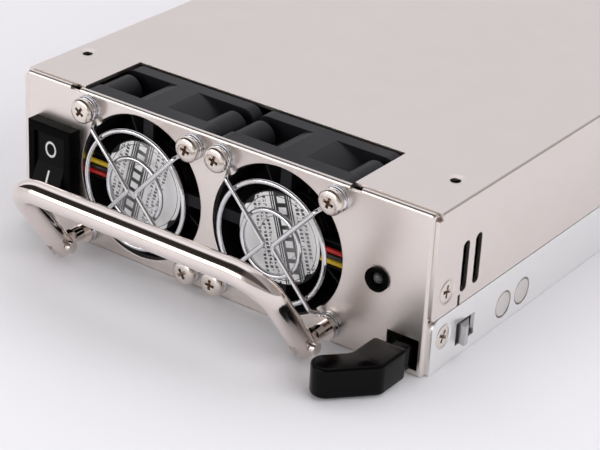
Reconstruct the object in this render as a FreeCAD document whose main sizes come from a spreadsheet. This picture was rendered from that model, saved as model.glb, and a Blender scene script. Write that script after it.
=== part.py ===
import FreeCAD, Part
import math
import os
import Sketcher

Vector = FreeCAD.Vector
Rotation = FreeCAD.Rotation
Placement = FreeCAD.Placement

# Driving dimensions in millimetres, grouped by the piece that they size

CASE = {
    "case_width": 119.5,
    "case_height": 40.2,
    "case_depth": 200.0,
    "metal": 1.0,
    "bend_radius": 0.8,
    "tray_wall_rise": 24.0,
    "tray_lap_gap": 0.3,
    "cover_front_setback": 2.1,
    "flange_front_setback": 0.6,
    "cover_notch_drop": 1.7,
    "seam_gap": 0.2,
    "screw_fit": 0.05,
}

PANEL = {
    "panel_top_bend": 0.9,
    "panel_flange_reach": 8.0,
    "panel_side_reach": 10.4,
    "panel_relief_width": 3.0,
    "fan_opening_radius": 18.4,
    "fan_ear_radius": 2.4,
    "fan_ear_offset": 14.3,
    "lamp_offset": 45.6,
    "lamp_height": 20.2,
    "latch_window_left": 49.1,
    "latch_window_right": 57.4,
    "latch_window_top": 8.8,
    "latch_window_bottom": 1.2,
}

COVER = {
    "fan_bay_depth": 22.2,
    "fan_bay_left": 41.55,
    "fan_bay_width": 78.3,
    "side_slot_width": 2.8,
    "side_slot_length": 12.6,
    "side_slot_height": 23.1,
    "side_slot_first": 13.1,
    "side_slot_pitch": 5.2,
    "relief_slit_place": 11.7,
    "relief_slit_width": 1.1,
    "relief_slit_rise": 2.6,
    "flange_corner_radius": 1.4,
    "top_hole_radius": 1.25,
    "top_dimple_radius": 2.6,
    "top_dimple_depth": 0.35,
    "top_hole_left": 55.2,
    "top_hole_right": 52.5,
    "top_hole_place": 18.1,
}

RAIL = {
    "rail_height": 13.6,
    "rail_front_setback": 1.6,
    "rail_corner_radius": 2.4,
    "rail_window_front": 11.9,
    "rail_window_length": 7.8,
    "rail_window_bottom": 3.2,
    "rail_window_height": 5.6,
    "rivet_height": 5.1,
    "rivet_first": 32.7,
    "rivet_pitch": 8.5,
    "rivet_head_radius": 3.4,
    "rivet_head_depth": 0.6,
    "rivet_shank_radius": 1.6,
    "rivet_tail_radius": 2.5,
    "rivet_tail_depth": 0.7,
}

CASE_SCREWS = {
    "case_screw_radius": 1.5,
    "case_screw_head_radius": 3.1,
    "case_screw_head_depth": 0.9,
    "case_screw_length": 3.0,
    "front_screw_place": 6.4,
    "rear_screw_inset": 6.4,
    "cover_screw_height": 19.4,
    "rail_screw_height": 8.1,
}

LATCH = {
    "latch_cutout_front": 9.9,
    "latch_cutout_back": 47.5,
    "bracket_front": 28.4,
    "bracket_back": 45.4,
    "bracket_bottom": 1.9,
    "bracket_rise": 8.0,
    "lug_length": 7.2,
    "lug_margin": 2.2,
    "lug_round": 2.0,
    "hinge_inset": 5.45,
    "hinge_place": 36.95,
    "hinge_pin_radius": 1.0,
    "hinge_pin_head_radius": 1.7,
    "hinge_pin_head_depth": 0.4,
    "arm_rail_gap": 0.5,
    "arm_thickness": 1.2,
    "arm_bottom": 3.2,
    "arm_rise": 5.0,
    "arm_rear_inset": 2.35,
    "arm_bend_front": 21.0,
    "arm_bend_back": 28.0,
    "arm_plate_back": 34.4,
    "arm_eye_radius": 2.4,
    "arm_eye_rise": 3.2,
    "arm_shoulder_front": 12.4,
    "arm_joggle_front": 8.2,
    "arm_joggle_shift": 4.2,
    "stem_bottom": 2.7,
    "stem_rise": 4.2,
    "stem_depth_in_tab": 6.0,
    "tongue_front": 12.9,
    "tongue_length": 6.5,
    "tongue_flat": 1.2,
    "tongue_reach": 1.9,
    "tongue_side_gap": 0.3,
    "coil_radius": 1.6,
    "coil_wire_radius": 0.3,
    "coil_pitch": 0.66,
    "coil_turns": 1.75,
    "coil_rise": 0.3,
    "coil_front_leg": 7.0,
    "coil_rear_leg": 3.7,
    "tab_bottom": 0.4,
    "tab_height": 7.5,
    "tab_gap": 2.9,
    "tab_inner": 47.75,
    "tab_width": 8.9,
    "tab_shank": 9.7,
    "tab_sweep_out": 10.1,
    "tab_sweep_forward": 11.3,
    "tab_tip_run": 5.3,
    "tab_tip_rise": 4.7,
    "tab_tip_radius": 3.3,
    "tab_outer_radius": 2.6,
    "tab_inner_radius": 2.6,
    "tab_corner_radius": 1.2,
    "tab_edge_radius": 0.7,
    "neck_length": 8.4,
    "neck_wall": 0.45,
    "neck_margin": 0.9,
}

FANS = {
    "fan_size": 39.8,
    "fan_sides": 4,
    "fan_depth": 20.0,
    "fan_hole_spacing": 32.0,
    "fan_left_offset": 22.55,
    "fan_pitch": 40.3,
    "fan_height": 20.1,
    "fan_front_flange": 4.6,
    "fan_rear_flange": 3.6,
    "fan_bore_radius": 18.0,
    "fan_barrel_bulge": 0.24,
    "fan_flat_reach": 5.7,
    "fan_flat_drop": 1.2,
    "fan_flat_corner": 6.1,
    "fan_corner_radius": 3.3,
    "fan_boss_radius": 3.7,
    "fan_boss_length": 14.0,
    "motor_base_radius": 11.6,
    "motor_base_depth": 1.4,
    "motor_base_recess": 0.3,
    "strut_width": 3.0,
    "lead_strut_width": 6.4,
    "strut_depth": 2.0,
    "bearing_tube_radius": 3.4,
    "bearing_tube_length": 12.0,
    "bearing_radius": 2.5,
    "bearing_length": 2.4,
    "shaft_radius": 1.0,
    "running_fit": 0.03,
    "blade_count": 7,
    "hub_radius": 11.2,
    "hub_wall": 1.0,
    "hub_front": 4.6,
    "hub_back": 18.6,
    "blade_tip_radius": 17.3,
    "blade_front": 5.4,
    "blade_back": 17.8,
    "blade_thickness": 1.1,
    "blade_root_turn": 3.9,
    "blade_tip_turn": 5.6,
    "blade_camber": 1.2,
    "magnet_wall": 0.9,
    "magnet_length": 8.0,
    "stator_radius": 8.8,
    "stator_length": 7.0,
    "winding_gap_radius": 1.5,
    "winding_gap_ring": 6.1,
    "label_radius": 11.3,
    "label_thickness": 0.15,
}

GUARD = {
    "guard_wire_radius": 0.6,
    "guard_loop_radius": 2.65,
    "guard_outer_ring": 14.9,
    "guard_inner_ring": 8.1,
    "guard_rise": 2.0,
    "guard_foot_radius": 17.6,
    "guard_elbow_offset": 1.1,
    "washer_thickness": 0.5,
    "washer_radius": 3.3,
    "guard_screw_radius": 1.5,
    "guard_screw_head_radius": 3.2,
    "guard_screw_head_depth": 1.9,
    "guard_screw_length": 12.0,
}

HANDLE = {
    "rod_radius": 2.9,
    "handle_reach": 26.8,
    "handle_bend_radius": 8.6,
    "handle_tilt": 54.0,
    "handle_pivot_reach": 10.7,
    "rod_end_beyond_pin": 2.5,
    "rod_end_round": 0.5,
    "fork_slot": 2.0,
    "fork_slot_depth": 5.6,
    "post_radius": 1.8,
    "post_collar_radius": 3.0,
    "post_collar_depth": 0.9,
    "tongue_thickness": 1.7,
    "post_tongue_length": 6.0,
    "pin_radius": 0.8,
    "pin_fit": 0.05,
    "pin_head_radius": 1.5,
    "pin_head_depth": 1.3,
    "pin_tail_radius": 1.2,
    "pin_tail_depth": 0.4,
}

SWITCH = {
    "switch_offset": 48.5,
    "switch_height": 18.9,
    "rim_width": 13.7,
    "rim_height": 21.0,
    "rim_depth": 3.6,
    "rim_round": 0.5,
    "switch_body_width": 11.4,
    "switch_body_height": 18.0,
    "switch_body_depth": 15.5,
    "cutout_fit": 0.1,
    "rocker_width": 8.9,
    "rocker_height": 16.0,
    "rocker_side_gap": 0.3,
    "rocker_recess": 0.7,
    "rocker_half_turn": 11.0,
    "rocker_back": 2.6,
    "rocker_pivot_reach": 1.0,
    "rocker_well_depth": 4.2,
    "terminal_width": 4.8,
    "terminal_thickness": 0.8,
    "terminal_length": 9.0,
    "terminal_pitch": 5.6,
    "terminal_seat": 3.0,
}

LAMP = {
    "clip_flange_radius": 2.95,
    "clip_flange_depth": 0.8,
    "clip_body_radius": 2.5,
    "clip_body_length": 6.5,
    "clip_dish_radius": 2.1,
    "lamp_radius": 1.5,
    "lamp_recess": 0.2,
    "lamp_length": 5.0,
    "lamp_rim_radius": 1.85,
    "lamp_rim_depth": 1.0,
    "lamp_fit": 0.05,
}

LEADS = {
    "lead_radius": 0.6,
    "lead_spacing": 1.4,
    "lead_start": 9.2,
    "lead_depth": 1.05,
    "lead_side_gap": 0.2,
    "lead_channel_depth": 1.45,
    "lead_channel_gap": 0.15,
    "lead_corner_radius": 1.3,
    "lead_turn_place": 26.5,
    "lead_top": 27.0,
    "lead_top_step": 1.2,
    "header_offset": 7.5,
    "header_place": 36.5,
    "header_pitch": 2.5,
    "header_width": 5.8,
    "header_height": 3.2,
    "plug_width": 4.6,
    "plug_height": 6.6,
    "plug_margin": 1.2,
}

BOARD = {
    "board_thickness": 1.6,
    "board_side_gap": 2.7,
    "board_front": 30.0,
    "board_back_gap": 4.0,
    "board_notch_width": 11.0,
    "board_notch_back": 50.0,
    "standoff_height": 6.0,
    "standoff_radius": 2.9,
    "standoff_inset": 4.5,
    "board_screw_radius": 1.4,
    "board_screw_head_radius": 2.7,
    "board_screw_head_depth": 1.6,
    "board_screw_length": 6.0,
    "film_thickness": 0.4,
    "film_hole_gap": 0.6,
    "film_margin": 1.6,
}

HEAT = {
    "sink_length": 88.0,
    "sink_height": 26.0,
    "sink_plate": 2.4,
    "fin_thickness": 1.1,
    "fin_reach": 7.4,
    "fin_pitch": 3.4,
    "sink_start": 60.0,
    "primary_sink_offset": 40.0,
    "secondary_sink_offset": 36.0,
    "package_width": 15.6,
    "package_height": 20.5,
    "package_depth": 4.8,
    "package_rise": 2.5,
    "package_pitch": 21.0,
    "package_start": 11.0,
    "package_leg": 1.1,
}

POWER = {
    "bulk_radius": 11.0,
    "bulk_height": 27.5,
    "bulk_offset": 19.0,
    "bulk_first": 66.0,
    "bulk_pitch": 25.0,
    "bulk_groove_depth": 0.7,
    "bulk_groove_height": 3.0,
    "core_length": 36.0,
    "core_width": 32.0,
    "core_height": 26.0,
    "core_limb": 8.0,
    "core_offset": 9.0,
    "core_place": 112.0,
    "winding_fit": 0.3,
    "choke_outer_radius": 13.0,
    "choke_inner_radius": 7.0,
    "choke_height": 10.0,
    "choke_winding_wall": 1.3,
    "choke_offset": 21.0,
    "choke_place": 168.0,
    "inductor_outer_radius": 12.0,
    "inductor_inner_radius": 5.5,
    "inductor_height": 13.0,
    "inductor_offset": 9.0,
    "inductor_place": 74.0,
    "film_cap_length": 18.0,
    "film_cap_width": 8.5,
    "film_cap_height": 14.5,
    "film_cap_offset": 20.0,
    "film_cap_first": 122.0,
    "film_cap_pitch": 14.0,
    "output_cap_radius": 4.0,
    "output_cap_height": 20.0,
    "output_cap_offset": 12.0,
    "output_cap_first": 144.0,
    "output_cap_pitch": 10.0,
    "output_cap_columns": 2,
    "output_cap_rows": 3,
    "control_board_length": 56.0,
    "control_board_height": 22.0,
    "control_board_offset": 51.0,
    "control_board_start": 88.0,
    "fuse_radius": 3.1,
    "fuse_length": 30.0,
    "fuse_cap_length": 6.0,
    "fuse_cap_growth": 0.25,
    "fuse_rise": 5.4,
    "fuse_offset": 46.0,
    "fuse_place": 160.0,
}

DOCK = {
    "dock_width": 64.0,
    "dock_height": 14.0,
    "dock_reach": 7.5,
    "dock_seat": 12.0,
    "dock_bay_margin": 0.6,
    "dock_slot_width": 3.2,
    "dock_slot_height": 9.0,
    "dock_slot_depth": 13.0,
    "dock_slot_pitch": 4.8,
    "dock_slot_count": 12,
    "blade_width": 1.2,
    "blade_height": 7.0,
    "blade_length": 14.0,
    "blade_end_gap": 1.6,
    "vent_width": 2.8,
    "vent_height": 8.0,
    "vent_pitch": 5.4,
    "vent_count": 15,
    "vent_rise": 31.0,
}

GROUPS = (CASE, PANEL, COVER, RAIL, CASE_SCREWS, LATCH, FANS, GUARD, HANDLE,
          SWITCH, LAMP, LEADS, BOARD, HEAT, POWER, DOCK)


class Size:
    """A length that carries both its number and the expression that gives it."""

    def __init__(self, number, text):
        self.number = float(number)
        self.text = text

    def _with(self, other, sign, number):
        text = other.text if isinstance(other, Size) else repr(other)
        return Size(number, "(%s %s %s)" % (self.text, sign, text))

    def __add__(self, other):
        return self._with(other, "+", self.number + float(other))

    def __sub__(self, other):
        return self._with(other, "-", self.number - float(other))

    def __mul__(self, other):
        return self._with(other, "*", self.number * float(other))

    def __truediv__(self, other):
        return self._with(other, "/", self.number / float(other))

    def __neg__(self):
        return Size(-self.number, "(0 - %s)" % self.text)

    def __float__(self):
        return self.number


class Sizes:
    """The spreadsheet of driving dimensions, read back by alias."""

    def __init__(self, doc, groups):
        self._sheet = doc.addObject("Spreadsheet::Sheet", "Sizes")
        row = 0
        for group in groups:
            for alias, value in group.items():
                row += 1
                self._sheet.set("A%d" % row, alias)
                self._sheet.set("B%d" % row, str(value))
                self._sheet.setAlias("B%d" % row, alias)
        doc.recompute()

    def __getattr__(self, alias):
        return Size(self._sheet.get(alias), "Sizes.%s" % alias)


doc = FreeCAD.newDocument("power_supply")
s = Sizes(doc, GROUPS)
NODES = {}

ZERO = s.metal * 0

# Places that several pieces share

half_width = s.case_width / 2
front = -s.case_depth / 2
back = s.case_depth / 2
panel_back = front + s.metal
flange_inner = half_width - s.metal
wall_inner = flange_inner - s.metal
top_inner = s.case_height - s.metal
hole_half = s.fan_hole_spacing / 2
fan_front = panel_back
board_bottom = s.metal + s.standoff_height
board_top = board_bottom + s.board_thickness
pivot_y = front - s.handle_pivot_reach
pivot_z = s.fan_height - hole_half
hinge_x = flange_inner - s.hinge_inset
hinge_y = front + s.hinge_place
arm_outer = flange_inner - s.arm_rail_gap
arm_rear_outer = flange_inner - s.arm_rear_inset
stem_outer = arm_outer - s.arm_joggle_shift
fan_places = (-s.fan_left_offset, s.fan_pitch - s.fan_left_offset)


def bind(target, formulas):
    """Tie each property of target to its size."""
    for path, size in formulas.items():
        target.setExpression(path, size.text)


def place(target, x, y, z, rotation=None):
    """Put target at x, y, z, with its place tied to the sizes."""
    target.Placement = Placement(Vector(float(x), float(y), float(z)), rotation or Rotation())
    bind(target, {"Placement.Base.x": x, "Placement.Base.y": y, "Placement.Base.z": z})


ALONG = {
    "x": Rotation(Vector(0, 1, 0), 90),
    "y": Rotation(Vector(1, 0, 0), -90),
    "z": Rotation(),
}


def box(name, length, width, height, x, y, z):
    """A block with its low corner at x, y, z."""
    block = doc.addObject("Part::Box", name)
    bind(block, {"Length": length, "Width": width, "Height": height})
    place(block, x, y, z)
    return block


def cylinder(name, radius, height, x, y, z, along="z"):
    """A round bar that starts at x, y, z and runs along one axis."""
    bar = doc.addObject("Part::Cylinder", name)
    bind(bar, {"Radius": radius, "Height": height})
    place(bar, x, y, z, ALONG[along])
    return bar


def cone(name, low, high, height, x, y, z, along="z"):
    """A tapered bar that starts at x, y, z and runs along one axis."""
    taper = doc.addObject("Part::Cone", name)
    bind(taper, {"Radius1": low, "Radius2": high, "Height": height})
    place(taper, x, y, z, ALONG[along])
    return taper


def fuse(name, pieces):
    """One solid from several that touch."""
    joined = doc.addObject("Part::MultiFuse", name)
    joined.Shapes = pieces
    joined.Refine = True
    return joined


def cut(name, base, tool):
    """Base with tool taken out."""
    rest = doc.addObject("Part::Cut", name)
    rest.Base = base
    rest.Tool = tool
    return rest


def group(name, pieces):
    """Separate solids of one kind in one node."""
    together = doc.addObject("Part::Compound", name)
    together.Links = pieces
    return together


def node(target, name):
    """Name target as a piece of the power supply."""
    target.Label = name
    NODES[name] = target
    return target


def new_body(name):
    """An empty body that will be one piece."""
    return doc.addObject("PartDesign::Body", name)


def origin_plane(body, role):
    """One of the body's own three base planes."""
    for feature in body.Origin.OriginFeatures:
        if feature.Role == role:
            return feature
    raise ValueError(role)


def sketch(body, name, role, offset=None):
    """A sketch on a base plane of its body, moved along the plane's normal by offset."""
    drawing = body.newObject("Sketcher::SketchObject", name)
    drawing.AttachmentSupport = [(origin_plane(body, role), "")]
    drawing.MapMode = "FlatFace"
    if offset is not None:
        drawing.AttachmentOffset = Placement(Vector(0, 0, float(offset)), Rotation())
        drawing.setExpression("AttachmentOffset.Base.z", offset.text)
    return drawing


def fix_point(drawing, edge, end, u, v):
    """Hold one end of an edge at u, v from the sketch's origin."""
    for kind, size in (("DistanceX", u), ("DistanceY", v)):
        index = drawing.addConstraint(Sketcher.Constraint(kind, -1, 1, edge, end, float(size)))
        drawing.setExpression("Constraints[%d]" % index, size.text)


def polygon(drawing, corners):
    """A closed outline with straight sides through the corners."""
    first = drawing.GeometryCount
    count = len(corners)
    for index, (u, v) in enumerate(corners):
        after = corners[(index + 1) % count]
        start = Vector(float(u), float(v), 0)
        end = Vector(float(after[0]), float(after[1]), 0)
        drawing.addGeometry(Part.LineSegment(start, end), False)
    for index in range(count):
        following = first + (index + 1) % count
        drawing.addConstraint(Sketcher.Constraint("Coincident", first + index, 2, following, 1))
    for index, (u, v) in enumerate(corners):
        fix_point(drawing, first + index, 1, u, v)


def rectangle(drawing, low_u, low_v, high_u, high_v):
    """A closed rectangle between two corners."""
    polygon(drawing, [(low_u, low_v), (high_u, low_v), (high_u, high_v), (low_u, high_v)])


def circle(drawing, u, v, radius):
    """A circle round u, v."""
    ring = Part.Circle(Vector(float(u), float(v), 0), Vector(0, 0, 1), float(radius))
    edge = drawing.addGeometry(ring, False)
    fix_point(drawing, edge, 3, u, v)
    index = drawing.addConstraint(Sketcher.Constraint("Radius", edge, float(radius)))
    drawing.setExpression("Constraints[%d]" % index, radius.text)


def obround(drawing, u, v, width, length):
    """An upright slot with round ends, centred on u, v."""
    reach = (length - width) / 2
    radius = width / 2
    first = drawing.GeometryCount
    centre = Vector(float(u), float(v), 0)
    up = Vector(0, float(reach), 0)
    side = Vector(float(radius), 0, 0)
    normal = Vector(0, 0, 1)
    top = Part.Circle(centre + up, normal, float(radius))
    low = Part.Circle(centre - up, normal, float(radius))
    drawing.addGeometry(Part.ArcOfCircle(top, 0, math.pi), False)
    drawing.addGeometry(Part.LineSegment(centre - side + up, centre - side - up), False)
    drawing.addGeometry(Part.ArcOfCircle(low, math.pi, 2 * math.pi), False)
    drawing.addGeometry(Part.LineSegment(centre + side - up, centre + side + up), False)
    for offset in range(4):
        following = first + (offset + 1) % 4
        drawing.addConstraint(Sketcher.Constraint("Tangent", first + offset, 2, following, 1))
    fix_point(drawing, first, 3, u, v + reach)
    fix_point(drawing, first + 2, 3, u, v - reach)
    index = drawing.addConstraint(Sketcher.Constraint("Radius", first, float(radius)))
    drawing.setExpression("Constraints[%d]" % index, radius.text)


def pad(body, name, drawing, length, reverse=False):
    """Material along the sketch's normal, or against it."""
    feature = body.newObject("PartDesign::Pad", name)
    feature.Profile = drawing
    feature.Reversed = reverse
    bind(feature, {"Length": length})
    drawing.Visibility = False
    return feature


def pocket(body, name, drawing, depth, reverse=False):
    """A cut against the sketch's normal, or along it."""
    feature = body.newObject("PartDesign::Pocket", name)
    feature.Profile = drawing
    feature.Reversed = reverse
    bind(feature, {"Length": depth})
    return feature


def drill(body, name, radius, depth, x, y, z, along="z"):
    """A round hole from x, y, z along one axis."""
    feature = body.newObject("PartDesign::SubtractiveCylinder", name)
    bind(feature, {"Radius": radius, "Height": depth})
    place(feature, x, y, z, ALONG[along])
    return feature


def sink(body, name, low, high, depth, x, y, z, along="z"):
    """A tapered hole from x, y, z along one axis."""
    feature = body.newObject("PartDesign::SubtractiveCone", name)
    bind(feature, {"Radius1": low, "Radius2": high, "Height": depth})
    place(feature, x, y, z, ALONG[along])
    return feature


def notch(body, name, length, width, height, x, y, z):
    """A block-shaped cut with its low corner at x, y, z."""
    feature = body.newObject("PartDesign::SubtractiveBox", name)
    bind(feature, {"Length": length, "Width": width, "Height": height})
    place(feature, x, y, z)
    return feature


def add_block(body, name, length, width, height, x, y, z):
    """A block of material with its low corner at x, y, z."""
    feature = body.newObject("PartDesign::AdditiveBox", name)
    bind(feature, {"Length": length, "Width": width, "Height": height})
    place(feature, x, y, z)
    return feature


def round_edges(body, name, wanted, radius):
    """A fillet on the edges of the body's tip that wanted picks out."""
    doc.recompute()
    base = body.Tip
    picked = ["Edge%d" % (index + 1) for index, edge in enumerate(base.Shape.Edges) if wanted(edge)]
    feature = body.newObject("PartDesign::Fillet", name)
    feature.Base = (base, picked)
    bind(feature, {"Radius": radius})
    body.Tip = feature
    return feature


def near(value, size):
    """Whether a coordinate lies on a size."""
    return abs(value - float(size)) < 1e-4


def runs_along(edge, axis):
    """Whether a straight edge runs along axis 0, 1 or 2."""
    if edge.Curve.TypeId != "Part::GeomLine":
        return False
    direction = edge.tangentAt(edge.FirstParameter)
    return abs(abs(direction[axis]) - 1) < 1e-6


def edge_at(axis, **spots):
    """A test for straight edges along axis whose other coordinates lie on the spots."""
    def wanted(edge):
        if not runs_along(edge, axis):
            return False
        middle = edge.CenterOfMass
        values = {"x": middle.x, "y": middle.y, "z": middle.z}
        return all(near(values[key], size) for key, size in spots.items())
    return wanted


def any_of(*tests):
    """A test that passes where one of several does."""
    return lambda edge: any(test(edge) for test in tests)


def pattern_line(body, name, feature, axis_role, span, count):
    """Copies of a feature in a row along one of the body's base axes."""
    doc.recompute()
    row = body.newObject("PartDesign::LinearPattern", name)
    row.Originals = [feature]
    row.Direction = (origin_plane(body, axis_role), [""])
    bind(row, {"Length": span, "Occurrences": count})
    body.Tip = row
    return row


def pattern_turn(body, name, feature, axis_role, count):
    """Copies of a feature in a full turn round one of the body's base axes."""
    doc.recompute()
    ring = body.newObject("PartDesign::PolarPattern", name)
    ring.Originals = [feature]
    ring.Axis = (origin_plane(body, axis_role), [""])
    ring.Angle = 360
    bind(ring, {"Occurrences": count})
    body.Tip = ring
    return ring


def fan_screw_holes(left):
    """Where the four corner holes of a fan lie, as x and z."""
    return [(left + across, s.fan_height + up)
            for across in (-hole_half, hole_half) for up in (-hole_half, hole_half)]


def base_tray():
    """Folded tray: floor, two low walls, and the rear wall with vents and the dock's bay."""
    body = new_body("TrayBody")
    floor = sketch(body, "TrayFloor", "XY_Plane")
    rectangle(floor, -flange_inner, panel_back, flange_inner, back)
    pad(body, "TrayFloorPad", floor, s.metal)
    notch(body, "TrayFanBay", s.fan_bay_width, s.fan_bay_depth, s.metal * 2,
          -s.fan_bay_left, front, -s.metal / 2)
    wall_top = s.tray_wall_rise
    low_top = s.rail_height - s.tray_lap_gap
    clear = front + s.panel_side_reach + s.tray_lap_gap
    add_block(body, "LeftWall", s.metal, back - clear, wall_top, -flange_inner, clear, ZERO)
    latch_back = front + s.latch_cutout_back
    add_block(body, "RightWall", s.metal, back - latch_back, wall_top, wall_inner, latch_back, ZERO)
    add_block(body, "RightTab", s.metal, s.latch_cutout_front - s.metal, low_top,
              wall_inner, panel_back, ZERO)
    rear_drop = s.tray_lap_gap / 3
    add_block(body, "RearWall", flange_inner * 2, s.metal, top_inner - rear_drop,
              -flange_inner, back - s.metal, ZERO)
    bay_width = s.dock_width + s.dock_bay_margin * 2
    bay_height = s.dock_height + s.dock_bay_margin * 2
    notch(body, "DockBay", bay_width, s.metal * 3, bay_height,
          -bay_width / 2, back - s.metal * 2, board_top - s.dock_bay_margin)
    vent = sketch(body, "Vent", "XZ_Plane", -back)
    row = s.vent_pitch * (s.vent_count - 1)
    obround(vent, -row / 2, s.vent_rise, s.vent_width, s.vent_height)
    first = pocket(body, "VentCut", vent, s.metal * 2, reverse=True)
    first.Reversed = False
    first.Midplane = True
    bind(first, {"Length": s.metal * 4})
    pattern_line(body, "Vents", first, "X_Axis", row, s.vent_count)
    hole = s.case_screw_radius + s.screw_fit
    rear_y = back - s.rear_screw_inset
    drill(body, "RearCoverHole", hole, s.metal * 4, wall_inner - s.metal, rear_y, s.cover_screw_height, "x")
    drill(body, "RearRailHole", hole, s.metal * 4, wall_inner - s.metal, rear_y, s.rail_screw_height, "x")
    drill(body, "FrontRailHole", hole, s.metal * 4, wall_inner - s.metal,
          front + s.front_screw_place, s.rail_screw_height, "x")
    drill(body, "LeftRearHole", hole, s.metal * 4, -half_width - s.metal, rear_y, s.cover_screw_height, "x")
    doc.recompute()
    return node(body, "base_tray")


def front_panel():
    """Front sheet with fan openings and their ears, switch, lamp and latch windows, and bent flanges."""
    body = new_body("PanelBody")
    plate = sketch(body, "PanelPlate", "XZ_Plane", -front)
    rectangle(plate, -flange_inner, ZERO, flange_inner, s.case_height)
    pad(body, "PanelPad", plate, s.metal, reverse=True)

    lip = sketch(body, "PanelLip", "YZ_Plane", -flange_inner)
    lip_end = front + s.panel_flange_reach
    under = top_inner - s.metal
    corners = [
        (front, top_inner),
        (front, s.case_height),
        (front + s.metal, s.case_height),
        (front + s.metal * 2, top_inner),
        (lip_end, top_inner),
        (lip_end, under),
        (front + s.metal, under),
        (front + s.metal, top_inner),
    ]
    polygon(lip, corners)
    pad(body, "PanelLipPad", lip, flange_inner * 2)
    left_edge = -s.fan_bay_left
    right_edge = s.fan_bay_width - s.fan_bay_left
    notch(body, "LipBay", s.fan_bay_width + s.panel_relief_width * 2, s.panel_flange_reach, s.metal * 2,
          left_edge - s.panel_relief_width, panel_back, under)
    for name, x in (("ReliefLeft", left_edge - s.panel_relief_width), ("ReliefRight", right_edge)):
        notch(body, name, s.panel_relief_width, s.metal * 2, s.metal, x, front - s.metal / 2, top_inner)

    side_bottom = s.rail_height + s.tray_lap_gap
    side_rise = under - side_bottom
    for name, x, low in (("SideLeft", -flange_inner, s.metal), ("SideRight", wall_inner, side_bottom)):
        add_block(body, name, s.metal, s.panel_side_reach - s.metal, under - low, x, panel_back, low)

    round_edges(body, "TopBend", edge_at(0, y=front, z=s.case_height), s.panel_top_bend)
    round_edges(body, "SideBends", any_of(edge_at(2, x=flange_inner, y=front),
                                          edge_at(2, x=-flange_inner, y=front)), s.bend_radius)

    for index, left in enumerate(fan_places):
        drill(body, "FanOpening%d" % index, s.fan_opening_radius, s.metal * 3,
              left, front - s.metal, s.fan_height, "y")
    ears = sketch(body, "Ears", "XZ_Plane", -front)
    for left in fan_places:
        for across in (-s.fan_ear_offset, s.fan_ear_offset):
            for up in (-s.fan_ear_offset, s.fan_ear_offset):
                circle(ears, left + across, s.fan_height + up, s.fan_ear_radius)
    pad(body, "EarPad", ears, s.metal, reverse=True)
    holes = [spot for left in fan_places for spot in fan_screw_holes(left)]
    for index, (x, z) in enumerate(holes):
        drill(body, "FanHole%d" % index, s.guard_screw_radius + s.screw_fit * 2, s.metal * 3,
              x, front - s.metal, z, "y")
    width = s.switch_body_width + s.cutout_fit * 2
    height = s.switch_body_height + s.cutout_fit * 2
    notch(body, "SwitchCutout", width, s.metal * 3, height,
          -s.switch_offset - width / 2, front - s.metal, s.switch_height - height / 2)
    drill(body, "LampHole", s.clip_body_radius + s.lamp_fit, s.metal * 3,
          s.lamp_offset, front - s.metal, s.lamp_height, "y")
    notch(body, "LatchWindow", s.latch_window_right - s.latch_window_left, s.metal * 3,
          s.latch_window_top - s.latch_window_bottom,
          s.latch_window_left, front - s.metal, s.latch_window_bottom)
    for name, x in (("CoverHoleRight", wall_inner - s.metal), ("CoverHoleLeft", -half_width - s.metal)):
        drill(body, name, s.case_screw_radius + s.screw_fit, s.metal * 4, x,
              front + s.front_screw_place, s.cover_screw_height, "x")
    doc.recompute()
    return node(body, "front_panel")


def screw_sink(body, name, x, y, z, inward):
    """The countersunk seat of one case screw in a sheet whose outer face is at x."""
    radius = s.case_screw_radius + s.screw_fit
    wide = s.case_screw_head_radius + s.screw_fit
    deep = s.case_screw_head_depth + s.screw_fit
    if inward < 0:
        drill(body, name + "Hole", radius, s.metal * 3, x - s.metal * 2, y, z, "x")
        sink(body, name + "Seat", radius, wide, deep, x - deep, y, z, "x")
    else:
        drill(body, name + "Hole", radius, s.metal * 3, x - s.metal, y, z, "x")
        sink(body, name + "Seat", wide, radius, deep, x, y, z, "x")


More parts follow.
